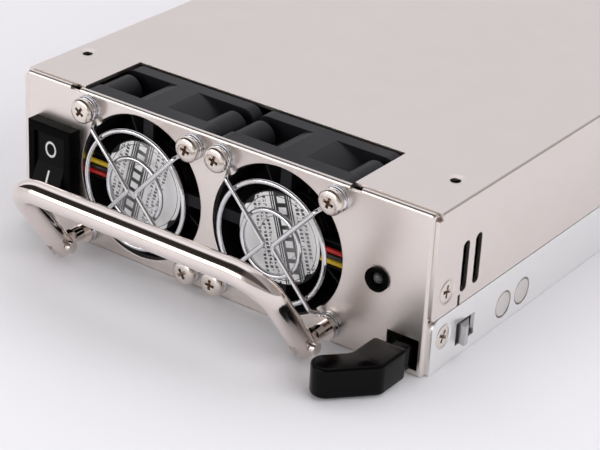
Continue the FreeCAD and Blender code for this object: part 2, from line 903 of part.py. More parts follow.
def top_cover():
    """Folded cover: top with the fan bay and two dimpled holes, long side flanges with slots."""
    body = new_body("CoverBody")
    profile = sketch(body, "CoverProfile", "XZ_Plane", -(front + s.flange_front_setback))
    low = s.rail_height + s.seam_gap
    corners = [
        (-half_width, ZERO),
        (-half_width, s.case_height),
        (half_width, s.case_height),
        (half_width, low),
        (flange_inner, low),
        (flange_inner, top_inner),
        (-flange_inner, top_inner),
        (-flange_inner, ZERO),
    ]
    polygon(profile, corners)
    pad(body, "CoverPad", profile, s.case_depth - s.flange_front_setback, reverse=True)
    round_edges(body, "CoverBends", any_of(edge_at(1, x=half_width, z=s.case_height),
                                           edge_at(1, x=-half_width, z=s.case_height)), s.bend_radius)
    notch(body, "FrontSetback", s.case_width, s.cover_front_setback, s.cover_notch_drop,
          -half_width, front, s.case_height - s.cover_notch_drop)
    notch(body, "FanBay", s.fan_bay_width, s.fan_bay_depth, s.metal * 2,
          -s.fan_bay_left, front, top_inner - s.metal / 2)
    slots = sketch(body, "SideSlots", "YZ_Plane", half_width + s.metal)
    for step in range(2):
        obround(slots, front + s.side_slot_first + s.side_slot_pitch * step, s.side_slot_height,
                s.side_slot_width, s.side_slot_length)
    pocket(body, "SideSlotCut", slots, s.metal * 3)
    slit = s.relief_slit_width
    notch(body, "ReliefSlit", s.metal * 2, slit, s.relief_slit_rise + s.seam_gap,
          flange_inner - s.metal / 2, front + s.relief_slit_place - slit / 2, low - s.seam_gap)
    round_edges(body, "FlangeCorner", edge_at(0, y=front + s.flange_front_setback, z=low),
                s.flange_corner_radius)
    for name, x in (("Left", -s.top_hole_left), ("Right", s.top_hole_right)):
        drill(body, "TopHole" + name, s.top_hole_radius, s.metal * 3,
              x, front + s.top_hole_place, top_inner - s.metal)
        sink(body, "TopDimple" + name, s.top_hole_radius, s.top_dimple_radius, s.top_dimple_depth,
             x, front + s.top_hole_place, s.case_height - s.top_dimple_depth)
    for name, y in (("Front", front + s.front_screw_place), ("Rear", back - s.rear_screw_inset)):
        screw_sink(body, "CoverRight" + name, half_width, y, s.cover_screw_height, -1)
        screw_sink(body, "CoverLeft" + name, -half_width, y, s.cover_screw_height, 1)
    doc.recompute()
    return node(body, "top_cover")


def latch_rail():
    """Bright strip along the lower right side, with the tongue's window and rivet seats."""
    body = new_body("RailBody")
    strip = sketch(body, "RailStrip", "YZ_Plane", flange_inner)
    rectangle(strip, front + s.rail_front_setback, ZERO, back, s.rail_height)
    pad(body, "RailPad", strip, s.metal)
    round_edges(body, "RailCorner", edge_at(0, y=front + s.rail_front_setback, z=s.rail_height),
                s.rail_corner_radius)
    notch(body, "TongueWindow", s.metal * 3, s.rail_window_length, s.rail_window_height,
          flange_inner - s.metal, front + s.rail_window_front, s.rail_window_bottom)
    for step in range(2):
        y = front + s.rivet_first + s.rivet_pitch * step
        drill(body, "RivetHole%d" % step, s.rivet_shank_radius + s.screw_fit, s.metal * 3,
              flange_inner - s.metal, y, s.rivet_height, "x")
        drill(body, "RivetSeat%d" % step, s.rivet_head_radius + s.screw_fit, s.metal,
              half_width - s.rivet_head_depth, y, s.rivet_height, "x")
    for name, y in (("Front", front + s.front_screw_place), ("Rear", back - s.rear_screw_inset)):
        screw_sink(body, "Rail" + name, half_width, y, s.rail_screw_height, -1)
    doc.recompute()
    return node(body, "latch_rail")


def case_screws():
    """Six countersunk screws: three on the right above, two in the rail, and the left pair."""
    spots = [
        (half_width, front + s.front_screw_place, s.cover_screw_height, -1),
        (half_width, back - s.rear_screw_inset, s.cover_screw_height, -1),
        (half_width, front + s.front_screw_place, s.rail_screw_height, -1),
        (half_width, back - s.rear_screw_inset, s.rail_screw_height, -1),
        (-half_width, front + s.front_screw_place, s.cover_screw_height, 1),
        (-half_width, back - s.rear_screw_inset, s.cover_screw_height, 1),
    ]
    head = s.case_screw_head_depth
    shank = s.case_screw_length - head
    screws = []
    for index, (x, y, z, inward) in enumerate(spots):
        name = "CaseScrew%d" % index
        if inward < 0:
            cap = cone(name + "Head", s.case_screw_radius, s.case_screw_head_radius, head, x - head, y, z, "x")
            bar = cylinder(name + "Shank", s.case_screw_radius, shank, x - s.case_screw_length, y, z, "x")
        else:
            cap = cone(name + "Head", s.case_screw_head_radius, s.case_screw_radius, head, x, y, z, "x")
            bar = cylinder(name + "Shank", s.case_screw_radius, shank, x + head, y, z, "x")
        screws.append(fuse(name, [cap, bar]))
    return node(group("CaseScrews", screws), "case_screws")


def rail_rivets():
    """Two flat rivets that hold the latch bracket behind the rail."""
    rivets = []
    sandwich = s.metal * 2
    for step in range(2):
        y = front + s.rivet_first + s.rivet_pitch * step
        name = "Rivet%d" % step
        head = cylinder(name + "Head", s.rivet_head_radius, s.rivet_head_depth,
                        half_width - s.rivet_head_depth, y, s.rivet_height, "x")
        shank = cylinder(name + "Shank", s.rivet_shank_radius, sandwich,
                         half_width - sandwich, y, s.rivet_height, "x")
        tail = cylinder(name + "Tail", s.rivet_tail_radius, s.rivet_tail_depth,
                        half_width - sandwich - s.rivet_tail_depth, y, s.rivet_height, "x")
        rivets.append(fuse(name, [head, shank, tail]))
    return node(group("Rivets", rivets), "rail_rivets")


def latch_bracket():
    """Folded bracket behind the rail: a riveted base with a lug above and below the arm's eye."""
    body = new_body("BracketBody")
    base = sketch(body, "BracketBase", "YZ_Plane", wall_inner)
    low = s.bracket_bottom
    rectangle(base, front + s.bracket_front, low, front + s.bracket_back, low + s.bracket_rise)
    pad(body, "BracketPad", base, s.metal)
    lug_width = s.hinge_inset - s.metal + s.lug_margin
    lug_y = hinge_y - s.lug_length / 2
    lug_x = wall_inner - lug_width
    top = low + s.bracket_rise - s.metal
    for name, z in (("LugLow", low), ("LugHigh", top)):
        add_block(body, name, lug_width + s.metal, s.lug_length, s.metal, lug_x, lug_y, z)
    round_edges(body, "LugRounds", any_of(edge_at(2, x=lug_x, y=lug_y),
                                          edge_at(2, x=lug_x, y=lug_y + s.lug_length)), s.lug_round)
    drill(body, "BracketPinHole", s.hinge_pin_radius + s.pin_fit, s.bracket_rise + s.metal,
          hinge_x, hinge_y, low - s.metal / 2)
    for step in range(2):
        drill(body, "BracketRivet%d" % step, s.rivet_shank_radius + s.screw_fit, s.metal * 2,
              wall_inner - s.metal / 2, front + s.rivet_first + s.rivet_pitch * step, s.rivet_height, "x")
    doc.recompute()
    return node(body, "latch_bracket")


def latch_pin():
    """Upright hinge pin, headed at both ends."""
    low = s.bracket_bottom
    top = low + s.bracket_rise
    deep = s.hinge_pin_head_depth
    shank = cylinder("HingeShank", s.hinge_pin_radius, s.bracket_rise, hinge_x, hinge_y, low)
    heads = [cylinder("HingeHeadLow", s.hinge_pin_head_radius, deep, hinge_x, hinge_y, low - deep),
             cylinder("HingeHeadHigh", s.hinge_pin_head_radius, deep, hinge_x, hinge_y, top)]
    return node(fuse("HingePin", [shank] + heads), "latch_pin")


def latch_arm():
    """Bent steel arm: hinge eye, plate with the ramped tongue, a joggle, and the stem in the tab."""
    body = new_body("ArmBody")
    thick = s.arm_thickness
    inner = arm_outer - thick
    rear_inner = arm_rear_outer - thick
    stem_inner = stem_outer - thick
    shoulder = front + s.arm_shoulder_front
    joggle = front + s.arm_joggle_front
    bend = front + s.arm_bend_front
    straight = front + s.arm_bend_back
    plate_end = front + s.arm_plate_back
    tip = front - s.tab_gap - s.stem_depth_in_tab
    plate = sketch(body, "ArmPlate", "XY_Plane", s.arm_bottom)
    polygon(plate, [
        (inner, shoulder),
        (arm_outer, shoulder),
        (arm_outer, bend),
        (arm_rear_outer, straight),
        (arm_rear_outer, plate_end),
        (rear_inner, plate_end),
        (rear_inner, straight),
        (inner, bend),
    ])
    pad(body, "ArmPlatePad", plate, s.arm_rise)
    neck = sketch(body, "ArmNeck", "XY_Plane", s.arm_bottom)
    rectangle(neck, rear_inner, plate_end - thick, arm_rear_outer - thick / 2, hinge_y)
    pad(body, "ArmNeckPad", neck, s.arm_eye_rise)
    eye = sketch(body, "ArmEye", "XY_Plane", s.arm_bottom)
    circle(eye, hinge_x, hinge_y, s.arm_eye_radius)
    pad(body, "ArmEyePad", eye, s.arm_eye_rise)
    stem = sketch(body, "ArmStem", "XY_Plane", s.stem_bottom)
    polygon(stem, [
        (stem_inner, tip),
        (stem_outer, tip),
        (stem_outer, joggle),
        (arm_outer, shoulder),
        (arm_outer, shoulder + thick),
        (inner, shoulder + thick),
        (stem_inner, joggle + thick / 2),
    ])
    pad(body, "ArmStemPad", stem, s.stem_rise)
    tongue = sketch(body, "ArmTongue", "XY_Plane", s.rail_window_bottom + s.tongue_side_gap)
    face = front + s.tongue_front
    reach = half_width + s.tongue_reach
    polygon(tongue, [
        (inner, face),
        (reach, face),
        (reach, face + s.tongue_flat),
        (arm_outer, face + s.tongue_length),
        (inner, face + s.tongue_length),
    ])
    pad(body, "ArmTonguePad", tongue, s.rail_window_height - s.tongue_side_gap * 2)
    drill(body, "ArmEyeBore", s.hinge_pin_radius + s.running_fit, s.arm_eye_rise * 2,
          hinge_x, hinge_y, s.arm_bottom - s.arm_eye_rise / 2)
    doc.recompute()
    return node(body, "latch_arm")


def latch_spring():
    """Torsion spring round the hinge pin, with a leg on the arm and one toward the bracket."""
    radius = float(s.coil_radius)
    wire = float(s.coil_wire_radius)
    rise = float(s.coil_pitch) / (2 * math.pi)
    base = Vector(float(hinge_x), float(hinge_y), float(s.arm_bottom + s.arm_eye_rise + s.coil_rise) + wire)
    step = math.pi / 4
    corners = int(2 * math.pi * float(s.coil_turns) / step)
    reach = radius / math.cos(step / 2)
    points = [base + Vector(float(s.coil_rear_leg), -radius, 0)]
    for index in range(corners):
        passed = step * (index + 0.5)
        angle = -math.pi / 2 - passed
        points.append(base + Vector(reach * math.cos(angle), reach * math.sin(angle), rise * passed))
    points.append(base + Vector(radius, -float(s.coil_front_leg), rise * step * corners))
    feature = doc.addObject("Part::Feature", "LatchSpring")
    feature.Shape = swept(points, [radius * 0.9] * corners, wire)
    return node(feature, "latch_spring")


def latch_tab():
    """Bent thumb tab moulded on the arm's stem, outside the panel."""
    body = new_body("TabBody")
    rear = front - s.tab_gap
    inner = s.tab_inner
    outer = s.tab_inner + s.tab_width
    elbow = rear - s.tab_shank
    tip_x = outer - s.tab_sweep_out
    tip_y = elbow - s.tab_sweep_forward
    heel_x = tip_x - s.tab_tip_run
    heel_y = tip_y + s.tab_tip_rise
    crook = elbow + s.tab_corner_radius / 2
    outline = sketch(body, "TabOutline", "XY_Plane", s.tab_bottom)
    polygon(outline, [(inner, rear), (outer, rear), (outer, elbow), (tip_x, tip_y),
                      (heel_x, heel_y), (inner, crook)])
    pad(body, "TabPad", outline, s.tab_height)
    round_edges(body, "TabTip", any_of(edge_at(2, x=tip_x, y=tip_y), edge_at(2, x=heel_x, y=heel_y)),
                s.tab_tip_radius)
    round_edges(body, "TabElbow", edge_at(2, x=outer, y=elbow), s.tab_outer_radius)
    round_edges(body, "TabCrook", edge_at(2, x=inner, y=crook), s.tab_inner_radius)
    round_edges(body, "TabHeel", any_of(edge_at(2, x=inner, y=rear), edge_at(2, x=outer, y=rear)),
                s.tab_corner_radius)
    top = s.tab_bottom + s.tab_height
    round_edges(body, "TabEdges", lambda edge: near(edge.BoundBox.ZMin, top) and near(edge.BoundBox.ZMax, top),
                s.tab_edge_radius)
    neck_inner = stem_outer - s.arm_thickness - s.neck_wall
    root = s.tab_corner_radius * 2
    add_block(body, "TabNeck", outer - s.neck_wall - neck_inner, s.neck_length + root,
              s.stem_rise + s.neck_margin * 2, neck_inner, rear - root, s.stem_bottom - s.neck_margin)
    fit = s.screw_fit
    socket = s.stem_depth_in_tab + fit
    notch(body, "StemSocket", s.arm_thickness + fit * 2, socket + s.neck_length + fit,
          s.stem_rise + fit * 2, stem_outer - s.arm_thickness - fit, rear - socket, s.stem_bottom - fit)
    doc.recompute()
    return node(body, "latch_tab")


def fan_frame(index, left):
    """Moulded fan frame: flanges, barrel with a flat on each side, bosses, struts and motor base."""
    name = "Fan%dFrame" % index
    body = new_body(name)
    half = s.fan_size / 2
    rim = half + s.metal
    barrel = sketch(body, name + "Barrel", "XZ_Plane")
    circle(barrel, ZERO, ZERO, half + s.fan_barrel_bulge)
    pad(body, name + "BarrelPad", barrel, s.fan_depth, reverse=True)
    sides = sketch(body, name + "Sides", "XZ_Plane")
    rectangle(sides, -rim, -rim, rim, rim)
    rectangle(sides, -half, -half, half, half)
    pocket(body, name + "SidesPocket", sides, s.fan_depth)
    low = sketch(body, name + "Low", "XZ_Plane")
    corner = half - s.fan_flat_corner
    polygon(low, [(-s.fan_flat_reach, rim), (-s.fan_flat_reach, half - s.fan_flat_drop),
                  (-corner, corner), (-rim, rim)])
    low_cut = pocket(body, name + "LowPocket", low, s.fan_depth)
    pattern_turn(body, name + "LowPockets", low_cut, "Y_Axis", s.fan_sides)
    front_square = sketch(body, name + "Front", "XZ_Plane")
    rectangle(front_square, -half, -half, half, half)
    pad(body, name + "FrontPad", front_square, s.fan_front_flange, reverse=True)
    rear_square = sketch(body, name + "Rear", "XZ_Plane", s.fan_rear_flange - s.fan_depth)
    rectangle(rear_square, -half, -half, half, half)
    pad(body, name + "RearPad", rear_square, s.fan_rear_flange, reverse=True)
    bosses = sketch(body, name + "Bosses", "XZ_Plane")
    for across in (-hole_half, hole_half):
        for up in (-hole_half, hole_half):
            circle(bosses, across, up, s.fan_boss_radius)
    pad(body, name + "BossPad", bosses, s.fan_boss_length, reverse=True)
    round_edges(body, name + "Corners",
                lambda edge: runs_along(edge, 1) and near(abs(edge.CenterOfMass.x), half)
                and near(abs(edge.CenterOfMass.z), half), s.fan_corner_radius)
    bore = sketch(body, name + "Bore", "XZ_Plane")
    circle(bore, ZERO, ZERO, s.fan_bore_radius)
    pocket(body, name + "BorePocket", bore, s.fan_depth)
    base = sketch(body, name + "Base", "XZ_Plane", -s.motor_base_recess)
    circle(base, ZERO, ZERO, s.motor_base_radius)
    pad(body, name + "BasePad", base, s.motor_base_depth, reverse=True)
    strut_front = s.motor_base_recess + s.motor_base_depth
    struts = sketch(body, name + "Struts", "XZ_Plane", -strut_front)
    thin = s.strut_width / 2
    wide = s.lead_strut_width / 2
    reach = s.fan_bore_radius + s.metal / 2
    polygon(struts, [(-reach, -wide), (-thin, -wide), (-thin, -reach), (thin, -reach), (thin, -thin),
                     (reach, -thin), (reach, thin), (thin, thin), (thin, reach), (-thin, reach),
                     (-thin, wide), (-reach, wide)])
    pad(body, name + "StrutPad", struts, s.strut_depth, reverse=True)
    tube = sketch(body, name + "Tube", "XZ_Plane", -strut_front)
    circle(tube, ZERO, ZERO, s.bearing_tube_radius)
    pad(body, name + "TubePad", tube, s.bearing_tube_length, reverse=True)
    drill(body, name + "BearingBore", s.bearing_radius + s.running_fit, s.bearing_tube_length,
          ZERO, strut_front, ZERO, "y")
    half_lead = s.lead_strut_width / 2 - s.lead_side_gap
    notch(body, name + "LeadExit", s.fan_size / 2 - s.lead_start, s.fan_front_flange, half_lead * 2,
          -half - s.metal, -s.metal, -half_lead)
    notch(body, name + "LeadChannel", s.motor_base_radius - s.lead_start + s.metal, strut_front,
          half_lead * 2, -s.motor_base_radius - s.metal / 2, ZERO, -half_lead)
    notch(body, name + "SideChannel", s.lead_channel_depth + s.metal, s.fan_depth + s.metal * 2,
          half_lead * 2, -half - s.metal, -s.metal, -half_lead)
    for step, (across, up) in enumerate((u, v) for u in (-hole_half, hole_half) for v in (-hole_half, hole_half)):
        drill(body, name + "Hole%d" % step, s.guard_screw_radius + s.screw_fit, s.fan_depth,
              across, ZERO, up, "y")
    turn = Rotation(Vector(0, 1, 0), 180 * index)
    place(body, left, fan_front, s.fan_height, turn)
    doc.recompute()
    return node(body, "fan_%d_frame" % (index + 1))


def blade_section(drawing, turn):
    """A bent blade section: a thin curved strip from the front of the hub to its back."""
    half_length = (s.blade_back - s.blade_front) / 2
    middle = (s.blade_back + s.blade_front) / 2
    half_thick = s.blade_thickness / 2
    bow = s.blade_camber
    polygon(drawing, [
        (middle - half_length, turn - half_thick / 2),
        (middle, bow - half_thick),
        (middle + half_length, -turn - half_thick / 2),
        (middle + half_length, -turn + half_thick / 2),
        (middle, bow + half_thick),
        (middle - half_length, turn + half_thick / 2),
    ])


def impeller(index, left):
    """Hub cup with twisted, cambered blades lofted from root to tip and trimmed round."""
    name = "Fan%dImpeller" % index
    body = new_body(name)
    blade_root = sketch(body, name + "Root", "YZ_Plane", s.hub_radius - s.hub_wall / 2)
    blade_section(blade_root, s.blade_root_turn)
    blade_tip = sketch(body, name + "Tip", "YZ_Plane", s.blade_tip_radius + s.hub_wall / 2)
    blade_section(blade_tip, s.blade_tip_turn)
    doc.recompute()
    blade = body.newObject("PartDesign::AdditiveLoft", name + "Blade")
    blade.Profile = blade_root
    blade.Sections = [blade_tip]
    blade.Ruled = True
    body.Tip = blade
    doc.recompute()
    cup = body.newObject("Sketcher::SketchObject", name + "Cup")
    cup.AttachmentSupport = [(origin_plane(body, "XY_Plane"), "")]
    cup.MapMode = "FlatFace"
    inner = s.hub_radius - s.hub_wall
    boss = s.bearing_radius
    seat = s.shaft_radius
    boss_front = s.hub_back - s.hub_wall * 3
    polygon(cup, [
        (s.hub_radius, s.hub_front),
        (s.hub_radius, s.hub_back),
        (seat, s.hub_back),
        (seat, boss_front),
        (boss, boss_front),
        (boss, s.hub_back - s.hub_wall),
        (inner, s.hub_back - s.hub_wall),
        (inner, s.hub_front),
    ])
    ring = pattern_turn(body, name + "Blades", blade, "Y_Axis", s.blade_count)
    hub = body.newObject("PartDesign::Revolution", name + "Hub")
    hub.Profile = cup
    hub.ReferenceAxis = (cup, ["V_Axis"])
    hub.Angle = 360
    doc.recompute()
    rim = sketch(body, name + "Rim", "XZ_Plane")
    circle(rim, ZERO, ZERO, s.blade_tip_radius)
    circle(rim, ZERO, ZERO, s.fan_bore_radius + s.hub_radius)
    pocket(body, name + "TipTrim", rim, s.fan_depth)
    place(body, left, fan_front, s.fan_height)
    doc.recompute()
    return node(body, "fan_%d_impeller" % (index + 1))


def ring(name, outer, inner, length, x, y, z, along="y"):
    """A plain ring along one axis."""
    solid = cylinder(name + "Outer", outer, length, x, y, z, along)
    hole = cylinder(name + "Inner", inner, length, x, y, z, along)
    return cut(name, solid, hole)


def fan_inner(index, left):
    """Stator with its winding windows, magnet ring and shaft of one fan."""
    number = index + 1
    strut_front = s.motor_base_recess + s.motor_base_depth
    tube_fit = s.bearing_tube_radius + s.running_fit * 2
    stator_y = fan_front + s.hub_front + s.metal
    body = new_body("Stator%d" % number)
    disc = sketch(body, "Stator%dDisc" % number, "XZ_Plane")
    circle(disc, ZERO, ZERO, s.stator_radius)
    circle(disc, ZERO, ZERO, tube_fit)
    pad(body, "Stator%dPad" % number, disc, s.stator_length, reverse=True)
    window = drill(body, "Stator%dWindow" % number, s.winding_gap_radius, s.stator_length,
                   s.winding_gap_ring, ZERO, ZERO, "y")
    pattern_turn(body, "Stator%dWindows" % number, window, "Y_Axis", s.blade_count - 1)
    place(body, left, stator_y, s.fan_height)
    node(body, "fan_%d_stator" % number)
    magnet_outer = s.hub_radius - s.hub_wall
    magnet = ring("Magnet%d" % number, magnet_outer, magnet_outer - s.magnet_wall, s.magnet_length,
                  left, fan_front + s.hub_front + s.metal / 2, s.fan_height)
    node(magnet, "fan_%d_magnet" % number)
    shaft_start = strut_front + s.metal / 2
    shaft = cylinder("Shaft%d" % number, s.shaft_radius, s.hub_back - shaft_start,
                     left, fan_front + shaft_start, s.fan_height, "y")
    node(shaft, "fan_%d_shaft" % number)


def fan_bearings():
    """Two bearings in each fan's tube."""
    strut_front = s.motor_base_recess + s.motor_base_depth
    near_place = strut_front + s.metal
    far_place = strut_front + s.bearing_tube_length - s.bearing_length
    bore = s.shaft_radius + s.running_fit
    rings = [ring("Bearing%d%s" % (index, label), s.bearing_radius, bore, s.bearing_length,
                  left, fan_front + depth, s.fan_height)
             for index, left in enumerate(fan_places)
             for label, depth in (("Near", near_place), ("Far", far_place))]
    return node(group("Bearings", rings), "fan_bearings")


def fan_labels():
    """A thin round label on each motor base."""
    discs = [cylinder("Label%d" % index, s.label_radius, s.label_thickness, left,
                      fan_front + s.motor_base_recess - s.label_thickness, s.fan_height, "y")
             for index, left in enumerate(fan_places)]
    return node(group("Labels", discs), "fan_labels")


def swept(points, radii, radius):
    """A round bar along straight runs joined by tangent arcs, checked against its length."""
    edges = []
    length = 0.0
    start = points[0]
    for index in range(1, len(points) - 1):
        corner = points[index]
        back_way = (start - corner).normalize()
        ahead = (points[index + 1] - corner).normalize()
        half_turn = (math.pi - back_way.getAngle(ahead)) / 2
        setback = radii[index - 1] * math.tan(half_turn)
        arc_start = corner + back_way * setback
        arc_end = corner + ahead * setback
        middle_way = (back_way + ahead).normalize()
        centre_distance = radii[index - 1] / math.cos(half_turn)
        arc_middle = corner + middle_way * (centre_distance - radii[index - 1])
        edges.append(Part.LineSegment(start, arc_start).toShape())
        edges.append(Part.Arc(arc_start, arc_middle, arc_end).toShape())
        length += (arc_start - start).Length + 2 * half_turn * radii[index - 1]
        start = arc_end
    edges.append(Part.LineSegment(start, points[-1]).toShape())
    length += (points[-1] - start).Length
    path = Part.Wire(edges)
    along = (edges[0].Vertexes[1].Point - edges[0].Vertexes[0].Point).normalize()
    section = Part.Wire([Part.makeCircle(radius, points[0], along)])
    bar = path.makePipeShell([section], True, True)
    expected = math.pi * radius ** 2 * length
    if abs(bar.Volume - expected) > 0.02 * expected:
        raise ValueError("a bent bar has the wrong volume")
    return bar


def guard_spoke(side):
    """One bent spoke of a guard: loop, ramp, elbow near the middle, ramp, loop."""
    wire = float(s.guard_wire_radius)
    foot_y = -float(s.washer_thickness) - wire
    crest_y = foot_y - float(s.guard_rise)
    hole = float(hole_half)
    foot = float(s.guard_foot_radius) / math.sqrt(2)
    eye = hole - float(s.guard_loop_radius) / math.sqrt(2)
    elbow = float(s.guard_elbow_offset)
    toe = (foot + eye) / 2
    points = [
        Vector(side * eye, foot_y, eye),
        Vector(side * toe, foot_y, toe),
        Vector(side * foot, crest_y, foot),
        Vector(side * elbow, crest_y, 0),
        Vector(side * foot, crest_y, -foot),
        Vector(side * toe, foot_y, -toe),
        Vector(side * eye, foot_y, -eye),
    ]
    bend = wire * 1.2
    spoke = swept(points, [bend, bend, wire * 2, bend, bend], wire)
    loops = []
    for up in (-hole, hole):
        loop = Part.makeTorus(float(s.guard_loop_radius), wire, Vector(side * hole, foot_y, up), Vector(0, 1, 0))
        loops.append(loop)
    return spoke.multiFuse(loops)


def fan_guard(index, left):
    """Welded finger guard: two rings behind two bent spokes whose ends loop round the fixings."""
    wire = float(s.guard_wire_radius)
    crest_y = -float(s.washer_thickness) - wire - float(s.guard_rise)
    ring_y = crest_y + wire * 1.8
    rings = [Part.makeTorus(float(radius), wire, Vector(0, ring_y, 0), Vector(0, 1, 0))
             for radius in (s.guard_outer_ring, s.guard_inner_ring)]
    guard = guard_spoke(-1).multiFuse([guard_spoke(1)] + rings).removeSplitter()
    feature = doc.addObject("Part::Feature", "Guard%d" % index)
    feature.Shape = guard
    place(feature, left, front, s.fan_height)
    return node(feature, "fan_%d_guard" % (index + 1))


def post_x():
    """Where the two handle posts stand, at the outer lower fan holes."""
    return (fan_places[0] - hole_half, fan_places[1] + hole_half)


def guard_fixings():
    """A washer at every corner, and a pan-head screw at the six that carry no post."""
    corners = [spot for left in fan_places for spot in fan_screw_holes(left)]
    washers = [ring("Washer%d" % index, s.washer_radius, s.guard_screw_radius + s.screw_fit,
                    s.washer_thickness, x, front - s.washer_thickness, z)
               for index, (x, z) in enumerate(corners)]
    posts = [float(x) for x in post_x()]
    spots = [(x, z) for x, z in corners
             if float(z) > float(s.fan_height) or min(abs(float(x) - post) for post in posts) > 1]
    loop_front = front - s.washer_thickness - s.guard_wire_radius * 2
    screws = []
    for index, (x, z) in enumerate(spots):
        name = "GuardScrew%d" % index
        head = s.guard_screw_head_depth
        collar = head / 2
        skirt = cylinder(name + "Skirt", s.guard_screw_head_radius, collar, x, loop_front - collar, z, "y")
        crown = cone(name + "Crown", s.guard_screw_head_radius - head / 2, s.guard_screw_head_radius,
                     head - collar, x, loop_front - head, z, "y")
        shank = cylinder(name + "Shank", s.guard_screw_radius, s.guard_screw_length, x, loop_front, z, "y")
        screws.append(fuse(name, [skirt, crown, shank]))
    node(group("GuardScrews", screws), "guard_screws")
    node(group("GuardWashers", washers), "guard_washers")


def handle_posts():
    """Two turned posts, threaded into the fans behind, with flattened tongues for the hinge."""
    posts = []
    shoulder = front - s.washer_thickness - s.guard_wire_radius * 2
    tongue_base = pivot_y + s.post_tongue_length - s.post_radius
    for index, x in enumerate(post_x()):
        name = "Post%d" % index
        bar = cylinder(name + "Bar", s.post_radius, shoulder - tongue_base, x, tongue_base, pivot_z, "y")
        collar = cylinder(name + "Collar", s.post_collar_radius, s.post_collar_depth,
                          x, shoulder - s.post_collar_depth, pivot_z, "y")
        thread = cylinder(name + "Thread", s.guard_screw_radius, s.guard_screw_length, x, shoulder, pivot_z, "y")
        half = s.tongue_thickness / 2
        blade = box(name + "Blade", s.tongue_thickness, tongue_base - pivot_y, s.post_radius * 2,
                    x - half, pivot_y, pivot_z - s.post_radius)
        nose = cylinder(name + "Nose", s.post_radius, s.tongue_thickness, x - half, pivot_y, pivot_z, "x")
        eye = cylinder(name + "Eye", s.pin_radius + s.pin_fit, s.tongue_thickness * 2,
                       x - s.tongue_thickness, pivot_y, pivot_z, "x")
        whole = fuse(name + "Whole", [bar, collar, thread, blade, nose])
        posts.append(cut(name, whole, eye))
    return node(group("Posts", posts), "handle_posts")


def handle_rotation():
    """The handle's tilt at rest, about the hinge."""
    return Rotation(Vector(1, 0, 0), 180 - float(s.handle_tilt))


def carry_handle():
    """Bail bent from one rod, with a slot across each end for the post's tongue."""
    body = new_body("HandleBody")
    left, right = post_x()
    half_span = (right - left) / 2
    inner = half_span - s.handle_bend_radius
    bend = s.handle_reach - s.handle_bend_radius
    tail = -s.rod_end_beyond_pin
    spine = body.newObject("Sketcher::SketchObject", "HandleSpine")
    spine.AttachmentSupport = [(origin_plane(body, "XY_Plane"), "")]
    spine.MapMode = "FlatFace"
    span = float(half_span)
    reach = float(s.handle_reach)
    radius = float(s.handle_bend_radius)
    up = Vector(0, 0, 1)
    spine.addGeometry(Part.LineSegment(Vector(-span, float(tail), 0), Vector(-span, reach - radius, 0)), False)
    left_bend = Part.Circle(Vector(radius - span, reach - radius, 0), up, radius)
    spine.addGeometry(Part.ArcOfCircle(left_bend, math.pi / 2, math.pi), False)
    spine.addGeometry(Part.LineSegment(Vector(radius - span, reach, 0), Vector(span - radius, reach, 0)), False)
    right_bend = Part.Circle(Vector(span - radius, reach - radius, 0), up, radius)
    spine.addGeometry(Part.ArcOfCircle(right_bend, 0, math.pi / 2), False)
    spine.addGeometry(Part.LineSegment(Vector(span, reach - radius, 0), Vector(span, float(tail), 0)), False)
    for one, end, two, start in ((0, 2, 1, 2), (1, 1, 2, 1), (2, 2, 3, 2), (3, 1, 4, 1)):
        spine.addConstraint(Sketcher.Constraint("Tangent", one, end, two, start))
    fix_point(spine, 0, 1, -half_span, tail)
    fix_point(spine, 1, 3, -inner, bend)
    fix_point(spine, 3, 3, inner, bend)
    fix_point(spine, 4, 2, half_span, tail)
    section = sketch(body, "HandleSection", "XZ_Plane", -tail)
    circle(section, -half_span, ZERO, s.rod_radius)
    doc.recompute()
    rod = body.newObject("PartDesign::AdditivePipe", "HandleRod")
    rod.Profile = section
    rod.Spine = (spine, ["Edge1", "Edge2", "Edge3", "Edge4", "Edge5"])
    body.Tip = rod
    round_edges(body, "RodEnds", lambda edge: near(edge.CenterOfMass.y, tail), s.rod_end_round)
    for name, x in (("Left", -half_span), ("Right", half_span)):
        notch(body, "Fork" + name, s.fork_slot, s.fork_slot_depth, s.rod_radius * 2,
              x - s.fork_slot / 2, tail, -s.rod_radius)
        drill(body, "PinBore" + name, s.pin_radius + s.running_fit, s.rod_radius * 2,
              x - s.rod_radius, ZERO, ZERO, "x")
    body.Placement = Placement(Vector(), handle_rotation())
    place(body, (left + right) / 2, pivot_y, pivot_z, handle_rotation())
    doc.recompute()
    return node(body, "carry_handle")


def handle_pins():
    """A headed pin through each fork and tongue."""
    pins = []
    for index, x in enumerate(post_x()):
        name = "Pin%d" % index
        reach = s.rod_radius + s.screw_fit
        shank = cylinder(name + "Shank", s.pin_radius, reach * 2, x - reach, pivot_y, pivot_z, "x")
        head = cylinder(name + "Head", s.pin_head_radius, s.pin_head_depth, x + reach, pivot_y, pivot_z, "x")
        tail = cylinder(name + "Tail", s.pin_tail_radius, s.pin_tail_depth,
                        x - reach - s.pin_tail_depth, pivot_y, pivot_z, "x")
        pins.append(fuse(name, [shank, head, tail]))
    return node(group("Pins", pins), "handle_pins")


